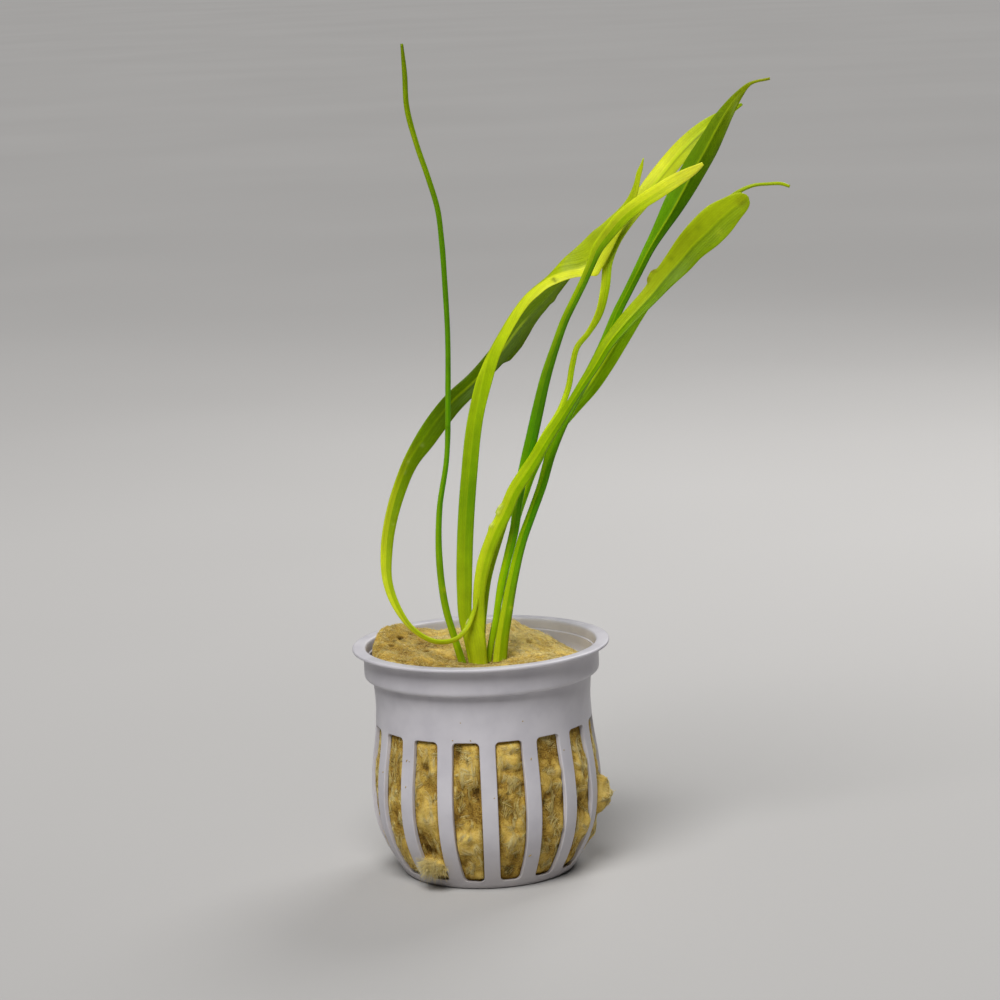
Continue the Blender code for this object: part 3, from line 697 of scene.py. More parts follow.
def slot_fibres(random, count, each, points, length, lift):
    """Fibres in the slots, and their shade. One that would cross a rib ends up behind it, like the felt."""
    slot = random.integers(0, SLOTS, count)
    angle = (slot + 0.5 + random.uniform(-0.3, 0.3, count)) * PITCH + RIB_TURN - math.pi / 2
    angle = np.repeat(angle, each)[:, None]
    height = np.repeat(random.uniform(SLOT_FOOT + 0.8, SLOT_TOP - 0.6, count), each)[:, None]
    ahead, aside, arch = locks(random, count, each, points, length, 0.5, 0.26)
    height = np.clip(height + ahead, SLOT_FOOT + 0.3, SLOT_TOP - 0.3)
    angle = angle + aside * 0.75 / wall_radius(height)
    ends = random.exponential(0.3 * lift, (len(angle), 1)) * np.linspace(0, 1, points) ** 2
    radius = wool_radius(angle, height) + (lift * arch + ends) * slot_room(angle, height)[0]
    paths = np.stack([radius * np.cos(angle), radius * np.sin(angle), height], axis=-1)
    return paths, side_painted_light_shade(angle, height).mean(axis=1)


def tuft_fibres(random, count, each, points, length, lift):
    """Fibres of the torn fringe at the lower left, which hang and curl, and a few on the right bulb."""
    which = (random.random(count * each) > 0.08).astype(int)
    chosen = np.array(BULBS)[which]
    spin = random.uniform(0, 2 * math.pi, count * each)
    reach = 0.85 * np.sqrt(random.random(count * each))
    angle = (chosen[:, 0] + 0.5) * PITCH + RIB_TURN - math.pi / 2 + reach * chosen[:, 3] * np.cos(spin)
    height = chosen[:, 1] + reach * chosen[:, 4] * np.sin(spin)
    radius = wool_radius(angle, height)
    start = np.stack([radius * np.cos(angle), radius * np.sin(angle), height], axis=-1)[:, None]
    outwards = np.stack([0.7 * np.cos(angle), 0.7 * np.sin(angle), -0.8 * which], axis=-1)[:, None]
    way = unit(outwards + random.normal(0, 0.6, (count * each, 1, 3)))
    bend = random.normal(0, 0.5, (count * each, 1, 3))
    along = np.linspace(0.0, 1.0, points)[None, :, None]
    long = random.uniform(*length, (count * each, 1, 1)) * (0.3 + 0.7 * which[:, None, None])
    return start + long * (way * (along - 0.15) + bend * along**2) * lift, 0.7 + 0 * angle


fibre_stops = [(0.25, "#94762F"), (0.45, "#BE9F4A"), (0.62, "#D8BE68"), (0.85, "#F0DC90")]
loose = rock_wool_felt("rock_wool_fibre", "shade", fibre_stops, 0.1)
# Locks, fibres in each, points of a fibre, lengths, lift and radii in mm, and how much paler than the felt,
# partly as a painted highlight.
FIBRES = {
    "top_fuzz": (top_fibres, 7000, 1, 5, (0.5, 1.5), 0.16, (0.025, 0.045), 0.55),
    "top_fibres": (top_fibres, 600, 5, 7, (1.0, 2.6), 0.12, (0.025, 0.05), 0.75),
    "slot_fibres": (slot_fibres, 800, 7, 6, (1.5, 4.2), 0.1, (0.03, 0.07), 0.95),
    "slot_fuzz": (slot_fibres, 3600, 1, 5, (0.5, 1.4), 0.2, (0.02, 0.036), 0.7),
    "tuft_fibres": (tuft_fibres, 150, 8, 7, (0.8, 2.6), 0.8, (0.025, 0.05), 0.4),
}
FIBRE_SEED = 20
TUBE_POINTS = 4
for number, (fibre_name, settings) in enumerate(FIBRES.items()):
    make, count, each, points, length, lift, radii, paler = settings
    fibre_random = np.random.default_rng(FIBRE_SEED + number)
    paths, shade = make(fibre_random, count, each, points, length, lift)
    fibre_points, fibre_faces = tubes(paths, fibre_random.uniform(*radii, len(paths)))
    # The felt's painted light and shade under the fibre, plus a paler tone that is partly painted highlight.
    shade = np.repeat(shade + fibre_random.normal(paler, 0.4, len(paths)), points * TUBE_POINTS)
    piece(fibre_name, fibre_points, fibre_faces, loose, layers={"shade": shade})


# Crumbs that cling to the pot's outside: slot number, height, length and tilt from the horizontal.
CRUMBS = np.array([
    (13.48, 27.8, 0.7, 1.1), (13.56, 27.7, 0.3, 0.3), (13.49, 22.4, 0.5, 1.4), (0.5, 28.2, 0.6, 1.2),
    (0.36, 36.2, 0.4, 0.2), (1.42, 28.6, 0.35, 0.8), (14.7, 32.9, 0.35, 0.4), (15.12, 32.9, 0.45, 2.2),
    (0.42, 7.6, 0.9, 0.5), (12.6, 24.0, 0.4, 0.9), (14.9, 36.6, 0.3, 1.9), (15.6, 21.0, 0.3, 0.4),
])
CRUMB_RADIUS, CRUMB_LIFT = 0.11, 0.03
number, height, long, tilt = CRUMBS.T[:, :, None]
along = np.linspace(-0.5, 0.5, 4)[None, :] * long
angle = (number + 0.5) * PITCH + RIB_TURN - math.pi / 2 + along * np.cos(tilt) / FELT_RADIUS
height = height + along * np.sin(tilt)
radius = wall_radius(height) + CRUMB_LIFT
paths = np.stack([radius * np.cos(angle), radius * np.sin(angle), height], axis=-1)
crumb_points, crumb_faces = tubes(paths, np.full(len(paths), CRUMB_RADIUS), sides=6)
piece("wool_crumbs", crumb_points, crumb_faces, loose,
      layers={"shade": np.full(len(crumb_points), -0.3)})

# %% [markdown]
# ## The leaves
#
# Each leaf is a row of stations from its base to its tip: the middle, the width and the turn of the blade.
# They are the same stations as the solids have. A smooth curve runs through them, and at each point of it
# stands a section. The section is drawn by its tangent angle: the left half tilts by one angle and the
# right half by another, with a soft crease at the midrib. So flat blades, channels and folds are all one
# formula. The section is thickest at the midrib and thins to nothing at the margins, which closes it.

# %% The leaves' stations
THREAD_LEAF = [
    (-3.1, -3.9, 40.2, 1.4, 0), (-3.8, -4.0, 44.3, 1.6, 0), (-5.3, -3.5, 50.0, 1.5, 0),
    (-6.9, -3.0, 56.4, 1.5, 0), (-7.82, -3.0, 66.0, 1.4, 0), (-7.32, -3.0, 77.8, 1.2, 0),
    (-5.42, -3.5, 88.1, 1.1, 0), (-4.52, -4.0, 101.8, 1.1, 0), (-4.02, -4.5, 115.3, 1.1, 0),
    (-4.12, -5.0, 124.0, 1.1, 0), (-4.42, -5.0, 133.9, 1.1, 0), (-4.92, -5.0, 140.0, 1.1, 0),
    (-6.52, -5.0, 146.4, 1.1, 0), (-8.62, -4.5, 153.4, 1.1, 0), (-10.32, -4.0, 161.3, 1.1, 0),
    (-10.42, -4.0, 167.8, 1.0, 0), (-10.72, -4.0, 173.85, 0.6, 0),
]
LOOPING_LEAF = [
    (0.1, -3.7, 60.6, 0.5, 0), (-0.3, -4.1, 58.8, 0.8, 0), (-0.8, -4.6, 57.0, 0.9, 0),
    (-1.5, -5.1, 55.2, 1.0, 0), (-2.8, -6.2, 52.8, 1.0, 0),
    (-5.2, -7.3, 50.9, 1.0, 20), (-9.0, -8.0, 50.7, 1.1, 30), (-13.7, -7.5, 53.3, 1.3, 30),
    (-16.9, -6.5, 57.8, 1.7, 20), (-18.7, -5.0, 63.0, 2.0, 0), (-18.8, -3.0, 69.4, 2.5, -10),
    (-17.7, -1.0, 75.8, 2.7, -15), (-15.6, 1.0, 82.1, 2.9, -20), (-13.1, 2.5, 87.3, 3.3, -20),
    (-9.6, 4.0, 92.0, 4.1, -15), (-4.3, 5.5, 98.1, 4.5, -10), (1.8, 7.0, 103.1, 4.6, 0),
    (7.7, 8.0, 109.1, 5.1, 10), (11.9, 9.0, 114.1, 5.4, 15), (16.5, 9.5, 118.4, 4.8, 15),
    (20.2, 10.0, 122.2, 3.3, 15), (23.3, 10.5, 125.6, 0.9, 15),
]
WAVY_LEAF = [
    (0.0, -0.5, 40.2, 1.0, 0), (0.9, -1.4, 53.6, 1.0, 0), (2.3, -2.2, 62.2, 1.0, 0),
    (5.0, -3.6, 70.9, 1.0, 0), (8.3, -5.0, 80.0, 1.0, 0), (11.9, -5.2, 87.7, 1.0, 0),
    (15.2, -4.8, 93.1, 1.0, 0), (18.35, -4.2, 97.5, 1.2, 10), (20.35, -3.4, 102.1, 1.3, 20),
    (21.45, -2.4, 106.9, 1.3, 20), (22.55, -1.8, 110.3, 1.2, 10), (24.95, -1.0, 113.0, 1.2, -10),
    (27.25, 0.0, 116.6, 1.8, -20), (28.85, 1.5, 122.0, 2.0, -15), (29.7, 3.0, 127.1, 2.0, 0),
    (31.4, 4.5, 131.3, 2.5, 10), (34.1, 6.0, 135.2, 3.1, 20), (37.6, 7.5, 139.5, 4.1, 25),
    (41.8, 8.5, 144.4, 4.8, 25), (46.6, 9.0, 149.6, 4.4, 20), (51.3, 9.5, 153.6, 3.4, 15),
    (55.5, 9.5, 156.3, 1.9, 10), (58.9, 9.5, 158.1, 0.5, 0),
]
TALL_LEAF = [
    (3.4, -2.2, 40.2, 2.4, 20), (3.8, -2.8, 44.3, 2.9, 20), (4.6, -3.5, 50.1, 2.8, 20),
    (5.6, -4.0, 55.2, 2.6, 20), (7.4, -4.2, 63.2, 2.2, 20), (9.3, -4.2, 69.9, 2.0, 20),
    (11.9, -4.0, 76.6, 1.9, 20), (14.1, -3.8, 82.1, 2.0, 20), (16.3, -3.5, 88.7, 2.1, 20),
    (18.6, -3.0, 93.8, 2.0, 20), (21.3, -2.6, 98.8, 2.0, 20), (24.4, -2.0, 104.0, 2.1, 20),
    (27.9, -1.0, 110.0, 2.1, 20), (31.3, 0.0, 117.2, 2.0, 20), (33.7, 0.3, 121.5, 2.0, 20),
    (35.9, 0.6, 125.5, 2.2, 20), (38.1, 1.0, 129.5, 2.5, 20), (40.6, 1.3, 133.5, 3.2, 20),
    (43.1, 1.6, 137.5, 4.2, 20), (45.5, 2.0, 141.5, 4.9, 20), (48.1, 2.3, 145.9, 5.0, 20),
    (50.7, 2.6, 150.0, 4.5, 20), (53.1, 2.9, 154.0, 3.7, 20), (55.5, 3.2, 157.6, 2.6, 20),
    (57.8, 3.4, 160.4, 1.6, 10), (60.0, 3.5, 162.4, 0.8, 0), (64.3, 3.5, 163.4, 0.4, 0),
]
OVAL_LEAF = [
    (-0.2, -3.7, 44.0, 2.0, 0), (-0.3, -3.6, 50.0, 2.3, 0), (-0.1, -3.6, 54.0, 2.5, 0),
    (0.0, -3.8, 58.2, 2.5, 0), (1.5, -4.8, 66.4, 3.0, 10), (3.5, -5.6, 71.9, 3.3, 15),
    (6.2, -6.6, 77.3, 3.5, 20), (8.3, -7.4, 81.9, 3.5, 20), (10.5, -7.8, 85.2, 3.5, 20),
    (12.9, -8.2, 88.7, 3.3, 25), (15.3, -8.4, 92.2, 3.0, 35), (17.7, -8.4, 95.4, 2.9, 45),
    (20.5, -8.4, 99.3, 2.7, 50), (23.1, -8.2, 103.1, 2.9, 50), (25.9, -7.8, 107.0, 2.9, 45),
    (28.5, -7.4, 111.0, 3.2, 40), (32.4, -6.8, 115.5, 3.5, 25), (38.2, -6.0, 121.3, 4.0, 15),
    (41.1, -5.6, 124.6, 4.8, 10), (43.9, -5.2, 127.5, 5.9, 5), (46.7, -4.8, 130.5, 6.7, 0),
    (49.9, -4.4, 133.3, 7.5, 0), (52.7, -4.0, 135.8, 7.1, 0), (55.2, -3.8, 137.7, 5.5, 0),
    (56.9, -3.6, 138.9, 4.4, 0), (57.7, -3.5, 139.5, 3.5, 0), (58.2, -3.5, 139.9, 2.2, 0),
    (58.45, -3.5, 140.1, 0.5, 0),
]
FRONT_LEAF = [
    (0.8, -2.0, 40.2, 1.0, 0), (2.3, -2.0, 48.4, 1.1, 0), (3.1, -2.1, 52.2, 1.3, 0),
    (5.0, -2.3, 61.8, 1.6, 0), (6.5, -2.6, 67.2, 1.8, 0), (8.0, -2.8, 72.7, 1.9, 0),
    (9.3, -3.0, 80.5, 2.1, 0), (10.8, -3.0, 86.3, 2.3, 0), (12.3, -3.4, 91.6, 2.5, 0),
    (13.9, -4.0, 97.9, 2.4, 0), (15.6, -5.0, 104.2, 2.2, 0), (18.1, -7.0, 111.6, 1.8, 0),
    (20.1, -8.4, 116.8, 1.7, 0), (22.2, -9.5, 121.0, 1.7, 0), (24.2, -10.5, 124.9, 1.7, 0),
    (25.8, -11.5, 128.4, 1.8, 0), (27.1, -12.2, 131.4, 2.3, 0), (29.4, -13.0, 134.4, 2.6, 0),
    (32.1, -13.8, 137.5, 2.9, 0), (36.0, -14.8, 140.5, 3.0, 10), (39.6, -15.5, 142.7, 3.1, 10),
    (43.1, -16.0, 144.8, 2.8, 10), (45.9, -16.3, 146.3, 2.1, 5), (47.5, -16.5, 147.2, 1.4, 0),
    (48.7, -16.5, 148.0, 0.6, 0),
]
BACK_LEAF = [
    (0.6, 1.0, 40.2, 1.1, 0), (2.7, 0.8, 50.9, 1.1, 0), (5.0, 0.6, 59.4, 1.0, 0),
    (7.2, 0.4, 67.9, 1.0, 0), (9.2, 0.4, 75.7, 1.3, 0), (10.7, 0.4, 79.6, 1.3, 0),
    (12.4, 0.6, 83.8, 1.3, 0), (14.1, 0.8, 87.0, 1.3, 0), (16.0, 1.2, 90.3, 1.5, 0),
    (18.7, 1.6, 93.9, 2.3, 0), (21.8, 2.2, 97.7, 3.1, 0), (25.1, 2.8, 101.5, 3.7, 0),
    (28.1, 3.2, 105.7, 4.0, 0), (31.7, 3.8, 111.1, 4.0, 0), (35.4, 4.4, 116.3, 3.5, 0),
    (40.0, 5.0, 121.9, 2.7, 0), (45.2, 5.4, 127.9, 2.1, 0), (50.0, 5.8, 133.5, 1.5, 0),
    (53.9, 6.0, 137.8, 1.0, 0), (57.5, 6.0, 140.3, 0.8, 0), (60.4, 6.0, 141.4, 0.7, 0),
    (63.5, 6.0, 141.6, 0.7, 0), (66.4, 6.0, 141.5, 0.7, 0), (68.0, 6.0, 140.9, 0.6, 0),
]
print("eight leaves; the longest row has", len(WAVY_LEAF), "stations")


# %% [markdown]
# A leaf's form says how its section changes along it. A row of the form is a share of the leaf's length,
# the part of the section that is the left half, the tilt of the left and of the right half in degrees, the
# thickness in mm, and the power that rounds the section: 2 is an ellipse, as in a stem, and more is a flat
# blade with round margins. Margins multiply a half's width along the leaf, for bulges, old notches and
# bites. The middle sheet gets its thickness along its own normal.


# %% A leaf's sheet
COLUMNS = 31
STATION_STEP = 0.5
FRONT = np.array([0.0, -1.0, 0.17])
COLUMN = 0.6 * np.sin(np.linspace(-math.pi / 2, math.pi / 2, COLUMNS)) + 0.4 * np.linspace(-1, 1, COLUMNS)


def even(rows):
    """Rows of numbers at even steps along the smooth curve through their first three, and those steps."""
    rows = np.array(rows, float)
    knots = np.concatenate([[0.0], np.cumsum(np.linalg.norm(np.diff(rows[:, :3], axis=0), axis=1))])
    at = np.linspace(0.0, knots[-1], round(knots[-1] / STATION_STEP) + 1)
    return hermite(knots, rows, at), at


def thicken(sheet, half, lumps=0.0):
    """Front and back of a sheet, as one loop of columns: it moves both ways along its own normal.

    The normal is the cross product of the sheet's two directions, and lumps stand on the front only."""
    normal = unit(np.cross(np.gradient(sheet, axis=1), np.gradient(sheet, axis=0)))
    front = sheet + normal * (half + lumps)[..., None]
    back = sheet - normal * half[..., None]
    return np.concatenate([front, back[:, ::-1]], axis=1)


def half_thickness(thick, power):
    """Half the thickness over a section: full at the midrib, and none at the margins."""
    return thick / 2 * np.sqrt(np.clip(1 - np.abs(COLUMN) ** power, 0.0, 1.0))


def margin_factor(margins, share):
    """Multiplies the left or right half width along the leaf, by straight lines between its stops."""
    factor = np.ones((len(share), COLUMNS))
    for side, stops in margins:
        places, values = np.array(stops).T
        grown = np.interp(share, places, values)[:, None] - 1
        factor += grown * np.clip(side * COLUMN, 0.0, 1.0)
    return factor


def plain_sheet(rows, form, margins=(), ripple=0.0, seed=1):
    """A leaf's middle sheet from its stations: (stations, columns, xyz).

    The section's tangent angle goes from the left tilt to the right one. Its cosine and sine, added up
    over the columns, give the section's curve, which is then drawn to the station's width."""
    stations, at = even(rows)
    share = at / at[-1]
    middle, width = stations[:, :3], stations[:, 3:4]
    ahead = unit(np.gradient(middle, axis=0))
    across = unit(np.cross(ahead, FRONT))
    facing = np.cross(across, ahead)
    left, tilt_left, tilt_right, thick, power = (
        np.interp(share, *np.array(form)[:, [0, k]].T)[:, None] for k in range(1, 6)
    )
    developed = np.where(COLUMN < 0, COLUMN * left, COLUMN * (1 - left)) * 2
    angle = np.radians(tilt_left + (tilt_right - tilt_left) * step(-0.4, 0.4, COLUMN))
    pieces = np.diff(developed, axis=1)
    middle_angle = (angle[:, 1:] + angle[:, :-1]) / 2
    start = np.zeros((len(share), 1))
    place = np.concatenate([start, np.cumsum(np.cos(middle_angle) * pieces, axis=1)], axis=1)
    rise = np.concatenate([start, np.cumsum(np.sin(middle_angle) * pieces, axis=1)], axis=1)
    low, high = place.min(axis=1, keepdims=True), place.max(axis=1, keepdims=True)
    scale = width / (high - low)
    place = (place - (low + high) / 2) * scale * margin_factor(margins, share)
    wave = np.sin(at / 4.1 + seed) + 0.7 * np.sin(at / 2.3 + 2.3 * seed)
    rise = (rise - rise.mean(axis=1, keepdims=True)) * scale
    rise = rise + ripple * wave[:, None] * COLUMN**2 * np.sign(COLUMN + 1e-9)
    turn = np.radians(stations[:, 4:5])
    right = across * np.cos(turn) + facing * np.sin(turn)
    toward = facing * np.cos(turn) - across * np.sin(turn)
    sheet = middle[:, None] + right[:, None] * place[..., None] + toward[:, None] * rise[..., None]
    return sheet, half_thickness(thick, power), developed * scale, at


def folded_sheet(rails, thick):
    """A leaf's middle sheet between three rails: the fold, the left margin and the right one.

    Each half is a straight line from the fold to its margin, and both blend softly at the fold."""
    rows, at = even(np.reshape(rails, (len(rails), 9)))
    share = at / at[-1]
    fold, left, right = (rows[:, None, k:k + 3] for k in (0, 3, 6))
    soft, roundness = 0.22, 5
    bend = (np.sqrt(COLUMN**2 + soft**2) + 1 - math.sqrt(1 + soft**2)) / 2
    to_left, to_right = (bend - COLUMN / 2)[None, :, None], (bend + COLUMN / 2)[None, :, None]
    sheet = fold + (left - fold) * to_left + (right - fold) * to_right
    widths = [np.linalg.norm(margin - fold, axis=-1) for margin in (left, right)]
    developed = np.where(COLUMN < 0, COLUMN * widths[0], COLUMN * widths[1])
    thick = np.interp(share, *np.array(thick).T)[:, None]
    return sheet, half_thickness(thick, roundness), developed, at


def closed_faces(rows, columns):
    """Faces of a tube whose section is a closed loop of points, with a lid of strips at each end."""
    numbers = np.arange(rows * columns).reshape(rows, columns)
    half = columns // 2
    lids = [np.stack([row[:half - 1], row[1:half], row[::-1][1:half], row[::-1][:half - 1]], axis=-1)
            for row in (numbers[0], numbers[-1])]
    return np.concatenate([grid_faces(rows, columns), *lids])


# %% [markdown]
# The strap leaf is the odd one. At its arch the right half is a bright strip that faces up, while the left
# half lies back and then stands up behind it, and near the end the two open into one narrow spike. No
# single tilt can say that, so this leaf hangs between three rails: its fold, its left and its right margin.

# %% The strap leaf's rails
STRAP_RAILS = [
    ((-1.4, -3.4, 44.0), (-2.5, -3.7, 44.0), (-0.3, -3.7, 44.0)),
    ((-2.4, -3.4, 50.0), (-3.5, -3.7, 50.0), (-1.2, -3.7, 50.0)),
    ((-2.9, -3.4, 54.0), (-4.3, -3.7, 54.0), (-1.6, -3.8, 54.0)),
    ((-2.9, -3.4, 60.6), (-4.5, -3.6, 60.6), (-1.3, -3.9, 60.6)),
    ((-2.3, -3.1, 71.1), (-4.0, -3.3, 71.1), (-0.6, -3.8, 71.1)),
    ((-1.0, -2.8, 83.7), (-2.7, -2.9, 83.7), (0.7, -3.4, 83.7)),
    ((1.1, -1.8, 97.3), (-0.5, -1.9, 97.3), (2.8, -2.3, 97.3)),
    ((2.8, -0.7, 104.1), (1.6, -1.2, 104.6), (4.6, -2.0, 103.4)),
    ((4.4, -0.8, 109.3), (3.8, 0.3, 108.8), (6.4, -2.3, 108.8)),
    ((7.1, -0.5, 114.3), (7.0, 1.4, 113.8), (8.8, -2.3, 113.5)),
    ((10.1, -0.2, 118.8), (10.4, 1.9, 118.3), (11.9, -2.0, 118.2)),
    ((12.1, 0.0, 121.1), (12.4, 2.1, 120.6), (13.6, -1.8, 120.1)),
    ((13.8, 0.2, 122.5), (14.0, 2.2, 122.2), (15.1, -1.6, 121.3)),
    ((15.8, 0.4, 123.8), (15.7, 2.2, 123.6), (16.8, -1.4, 122.6)),
    ((17.9, 0.5, 124.9), (17.3, 2.2, 125.0), (18.6, -1.2, 123.4)),
    ((19.7, 0.6, 125.4), (18.9, 2.2, 126.7), (20.3, -1.0, 124.0)),
    ((21.7, 0.8, 125.7), (20.7, 2.2, 128.5), (22.2, -0.9, 124.5)),
    ((23.6, 1.0, 125.9), (22.6, 2.3, 130.0), (24.1, -0.8, 124.7)),
    ((25.4, 1.3, 126.6), (24.5, 2.5, 131.6), (26.0, -0.5, 124.7)),
    ((27.0, 1.6, 128.4), (26.6, 2.7, 133.5), (27.3, 0.0, 124.7)),
    ((28.7, 1.9, 130.6), (28.6, 2.9, 134.9), (28.6, 1.0, 126.4)),
    ((30.2, 2.1, 132.7), (30.4, 3.0, 136.4), (29.9, 1.7, 128.4)),
    ((31.9, 2.5, 135.1), (32.2, 3.2, 137.9), (31.7, 2.3, 131.7)),
    ((33.6, 3.0, 137.3), (33.8, 3.4, 139.6), (33.7, 3.0, 135.1)),
    ((35.1, 3.4, 139.9), (35.0, 3.6, 141.6), (35.5, 3.4, 138.7)),
    ((36.1, 3.7, 142.5), (35.8, 3.8, 143.6), (36.6, 3.7, 141.7)),
    ((36.6, 3.9, 144.8), (36.3, 4.0, 145.4), (37.1, 3.9, 144.1)),
    ((37.4, 4.0, 146.8), (37.2, 4.0, 147.1), (37.7, 4.0, 146.4)),
    ((37.8, 4.0, 148.2), (37.7, 4.0, 148.2), (37.9, 4.0, 148.1)),
]
STRAP_THICK = [(0, 1.1), (0.12, 0.9), (0.3, 0.7), (0.5, 0.5), (0.9, 0.4), (1, 0.3)]
print("rails with", len(STRAP_RAILS), "stations")

# %% [markdown]
# A sagittaria leaf is thin and full of air channels, so it glows when light falls on it: much of the light
# goes in, turns yellow-green and comes out on the other side. Subsurface scattering in the closed, half a
# millimetre thick blade does that. Broad bands and fine veins, half a millimetre apart, run its whole
# length, with a net of cells between them, and a paler midrib. A dark line beside the midrib is painted
# shade, for the shadow in its groove. The skin is smooth and waxy.


# %% Leaf skin
# Distance between veins, and between the midrib and the painted shade line of the groove beside it.
VEIN_STEP = 0.5
GROOVE_AT = 0.5


def leaf_skin():
    made, tree, output = new_material("sagittaria_leaf")
    place = add(tree, "ShaderNodeTexCoord").outputs["Object"]
    tint = add(tree, "ShaderNodeAttribute", attribute_name="tint").outputs["Color"]
    grain = add(tree, "ShaderNodeAttribute", attribute_name="grain").outputs["Vector"]
    across, lengthwise, ribbed = add(tree, "ShaderNodeSeparateXYZ", {0: grain}).outputs
    flat = add(tree, "ShaderNodeCombineXYZ", {0: across, 1: lengthwise}).outputs[0]
    # Scales are one over millimetres here, because the grain is measured in millimetres.
    band_place = add(tree, "ShaderNodeMapping", {"Vector": flat, "Scale": (1.1, 0.03, 1.0)})
    bands = add(tree, "ShaderNodeTexNoise", {"Vector": band_place.outputs[0], "Scale": 1.0, "Detail": 2.0})
    cell_place = add(tree, "ShaderNodeMapping", {"Vector": flat, "Scale": (3.2, 0.9, 1.0)})
    cells = add(tree, "ShaderNodeTexVoronoi", {"Vector": cell_place.outputs[0], "Scale": 1.0},
                feature="DISTANCE_TO_EDGE")
    blotches = add(tree, "ShaderNodeTexNoise", {"Vector": place, "Scale": 1 / (3.5 * MM), "Detail": 3.0})
    veins = maths(tree, "COSINE", maths(tree, "MULTIPLY", across, 2 * math.pi / VEIN_STEP))
    value = weighted_sum(tree, 0.53, [(bands.outputs["Fac"], 0.4), (blotches.outputs["Fac"], 0.4),
                                      (cells.outputs["Distance"], 0.22), (veins, 0.03)])
    shaded = add(tree, "ShaderNodeHueSaturation", {"Value": value, "Color": tint}).outputs[0]
    rib = maths(tree, "MULTIPLY", fade(tree, maths(tree, "ABSOLUTE", across), 0.08, 0.42, 0.45), ribbed)
    pale = mixed(tree, rib, shaded, linear("#C8DC10"))
    # Painted shade: a dark line beside the midrib stands for the shadow in its groove.
    beside = maths(tree, "ABSOLUTE", maths(tree, "SUBTRACT", across, GROOVE_AT))
    painted_groove_shade = maths(tree, "MULTIPLY", fade(tree, beside, 0.0, 0.25, 0.3), ribbed)
    colour = mixed(tree, painted_groove_shade, pale, linear("#3A5800"))
    relief = maths(tree, "MULTIPLY_ADD", veins, 0.4, cells.outputs["Distance"])
    bump = add(tree, "ShaderNodeBump", {"Height": relief, "Strength": 0.3, "Distance": 0.06 * MM})
    shader = add(tree, "ShaderNodeBsdfPrincipled", {
        "Base Color": colour, "Roughness": 0.38, "IOR": 1.42, "Specular IOR Level": 0.12,
        "Subsurface Weight": 0.4, "Subsurface Radius": (1.0, 1.0, 0.2), "Subsurface Scale": 0.8 * MM,
        "Normal": bump.outputs[0]})
    tree.links.new(shader.outputs[0], output.inputs[0])
    return made


skin = leaf_skin()

# %% [markdown]
# Next come the forms, the tints and the marks of the eight leaves. The pigments of a leaf run from the dark
# green of old, shaded stems to the lime of young blades, and a fading leaf turns from green to yellow. So
# a tint is two numbers, a tone and an age, and each row gives a share of the length, the tone of the left
# and of the right half, and the age. The tones also hold painted light and shade: a half or a stretch that
# lies in shade has a lower tone, and the feet of the stems are painted lighter for the glow through them.
# The looping leaf has a step and two old notches in its right margin. The oval leaf has a small torn flap,
# and its stem has beads of clear gum, painted pale, partly as their highlight.

# %% Forms
LEAF_ROWS = {
    "thread_leaf": THREAD_LEAF, "looping_leaf": LOOPING_LEAF, "wavy_leaf": WAVY_LEAF,
    "tall_leaf": TALL_LEAF, "oval_leaf": OVAL_LEAF, "front_leaf": FRONT_LEAF, "back_leaf": BACK_LEAF,
}
LEAF_FORMS = {
    "thread_leaf": [(0, 0.5, 0, 0, 0.9, 2.2), (1, 0.5, 0, 0, 0.6, 2.2)],
    "looping_leaf": [(0, 0.5, 0, 0, 0.4, 2.2), (0.03, 0.5, 0, 0, 0.7, 2.2), (0.2, 0.5, -4, 4, 0.6, 3),
        (0.35, 0.5, -14, 16, 0.5, 5), (0.6, 0.45, -10, 14, 0.4, 6), (0.75, 0.4, -10, 12, 0.4, 6),
        (1, 0.42, -8, 8, 0.3, 6)],
    "wavy_leaf": [(0, 0.5, 0, 0, 0.8, 2.2), (0.5, 0.5, -3, 3, 0.6, 2.6), (0.62, 0.5, -10, 8, 0.4, 5),
        (0.8, 0.5, -9, 11, 0.4, 6), (1, 0.5, -4, 4, 0.3, 5)],
    "tall_leaf": [(0, 0.5, -16, 16, 1.7, 2.6), (0.3, 0.5, -24, 24, 1.3, 2.8), (0.55, 0.5, -22, 26, 1.0, 3),
        (0.75, 0.52, -16, 34, 0.5, 6), (0.92, 0.5, -12, 20, 0.45, 5), (1, 0.5, 0, 0, 0.5, 2.4)],
    "oval_leaf": [(0, 0.5, 0, 0, 1.3, 2.6), (0.2, 0.5, -10, 16, 1.1, 2.8), (0.42, 0.6, -14, 30, 0.9, 3),
        (0.6, 0.5, -22, 26, 0.7, 4), (0.75, 0.5, -14, 16, 0.5, 6), (0.9, 0.5, -7, 9, 0.4, 8),
        (1, 0.5, -4, 4, 0.35, 6)],
    "front_leaf": [(0, 0.5, 0, 0, 0.9, 2.2), (0.3, 0.5, -14, 14, 1.2, 2.6), (0.6, 0.5, -14, 14, 1.0, 2.8),
        (0.8, 0.5, -16, 16, 0.6, 4), (1, 0.5, -6, 6, 0.45, 4)],
    "back_leaf": [(0, 0.5, 0, 0, 0.9, 2.2), (0.4, 0.5, -8, 8, 0.8, 2.6), (0.52, 0.42, -12, 16, 0.45, 6),
        (0.72, 0.45, -12, 12, 0.4, 6), (0.85, 0.5, 0, 0, 0.6, 2.4), (1, 0.5, 0, 0, 0.5, 2.2)],
}
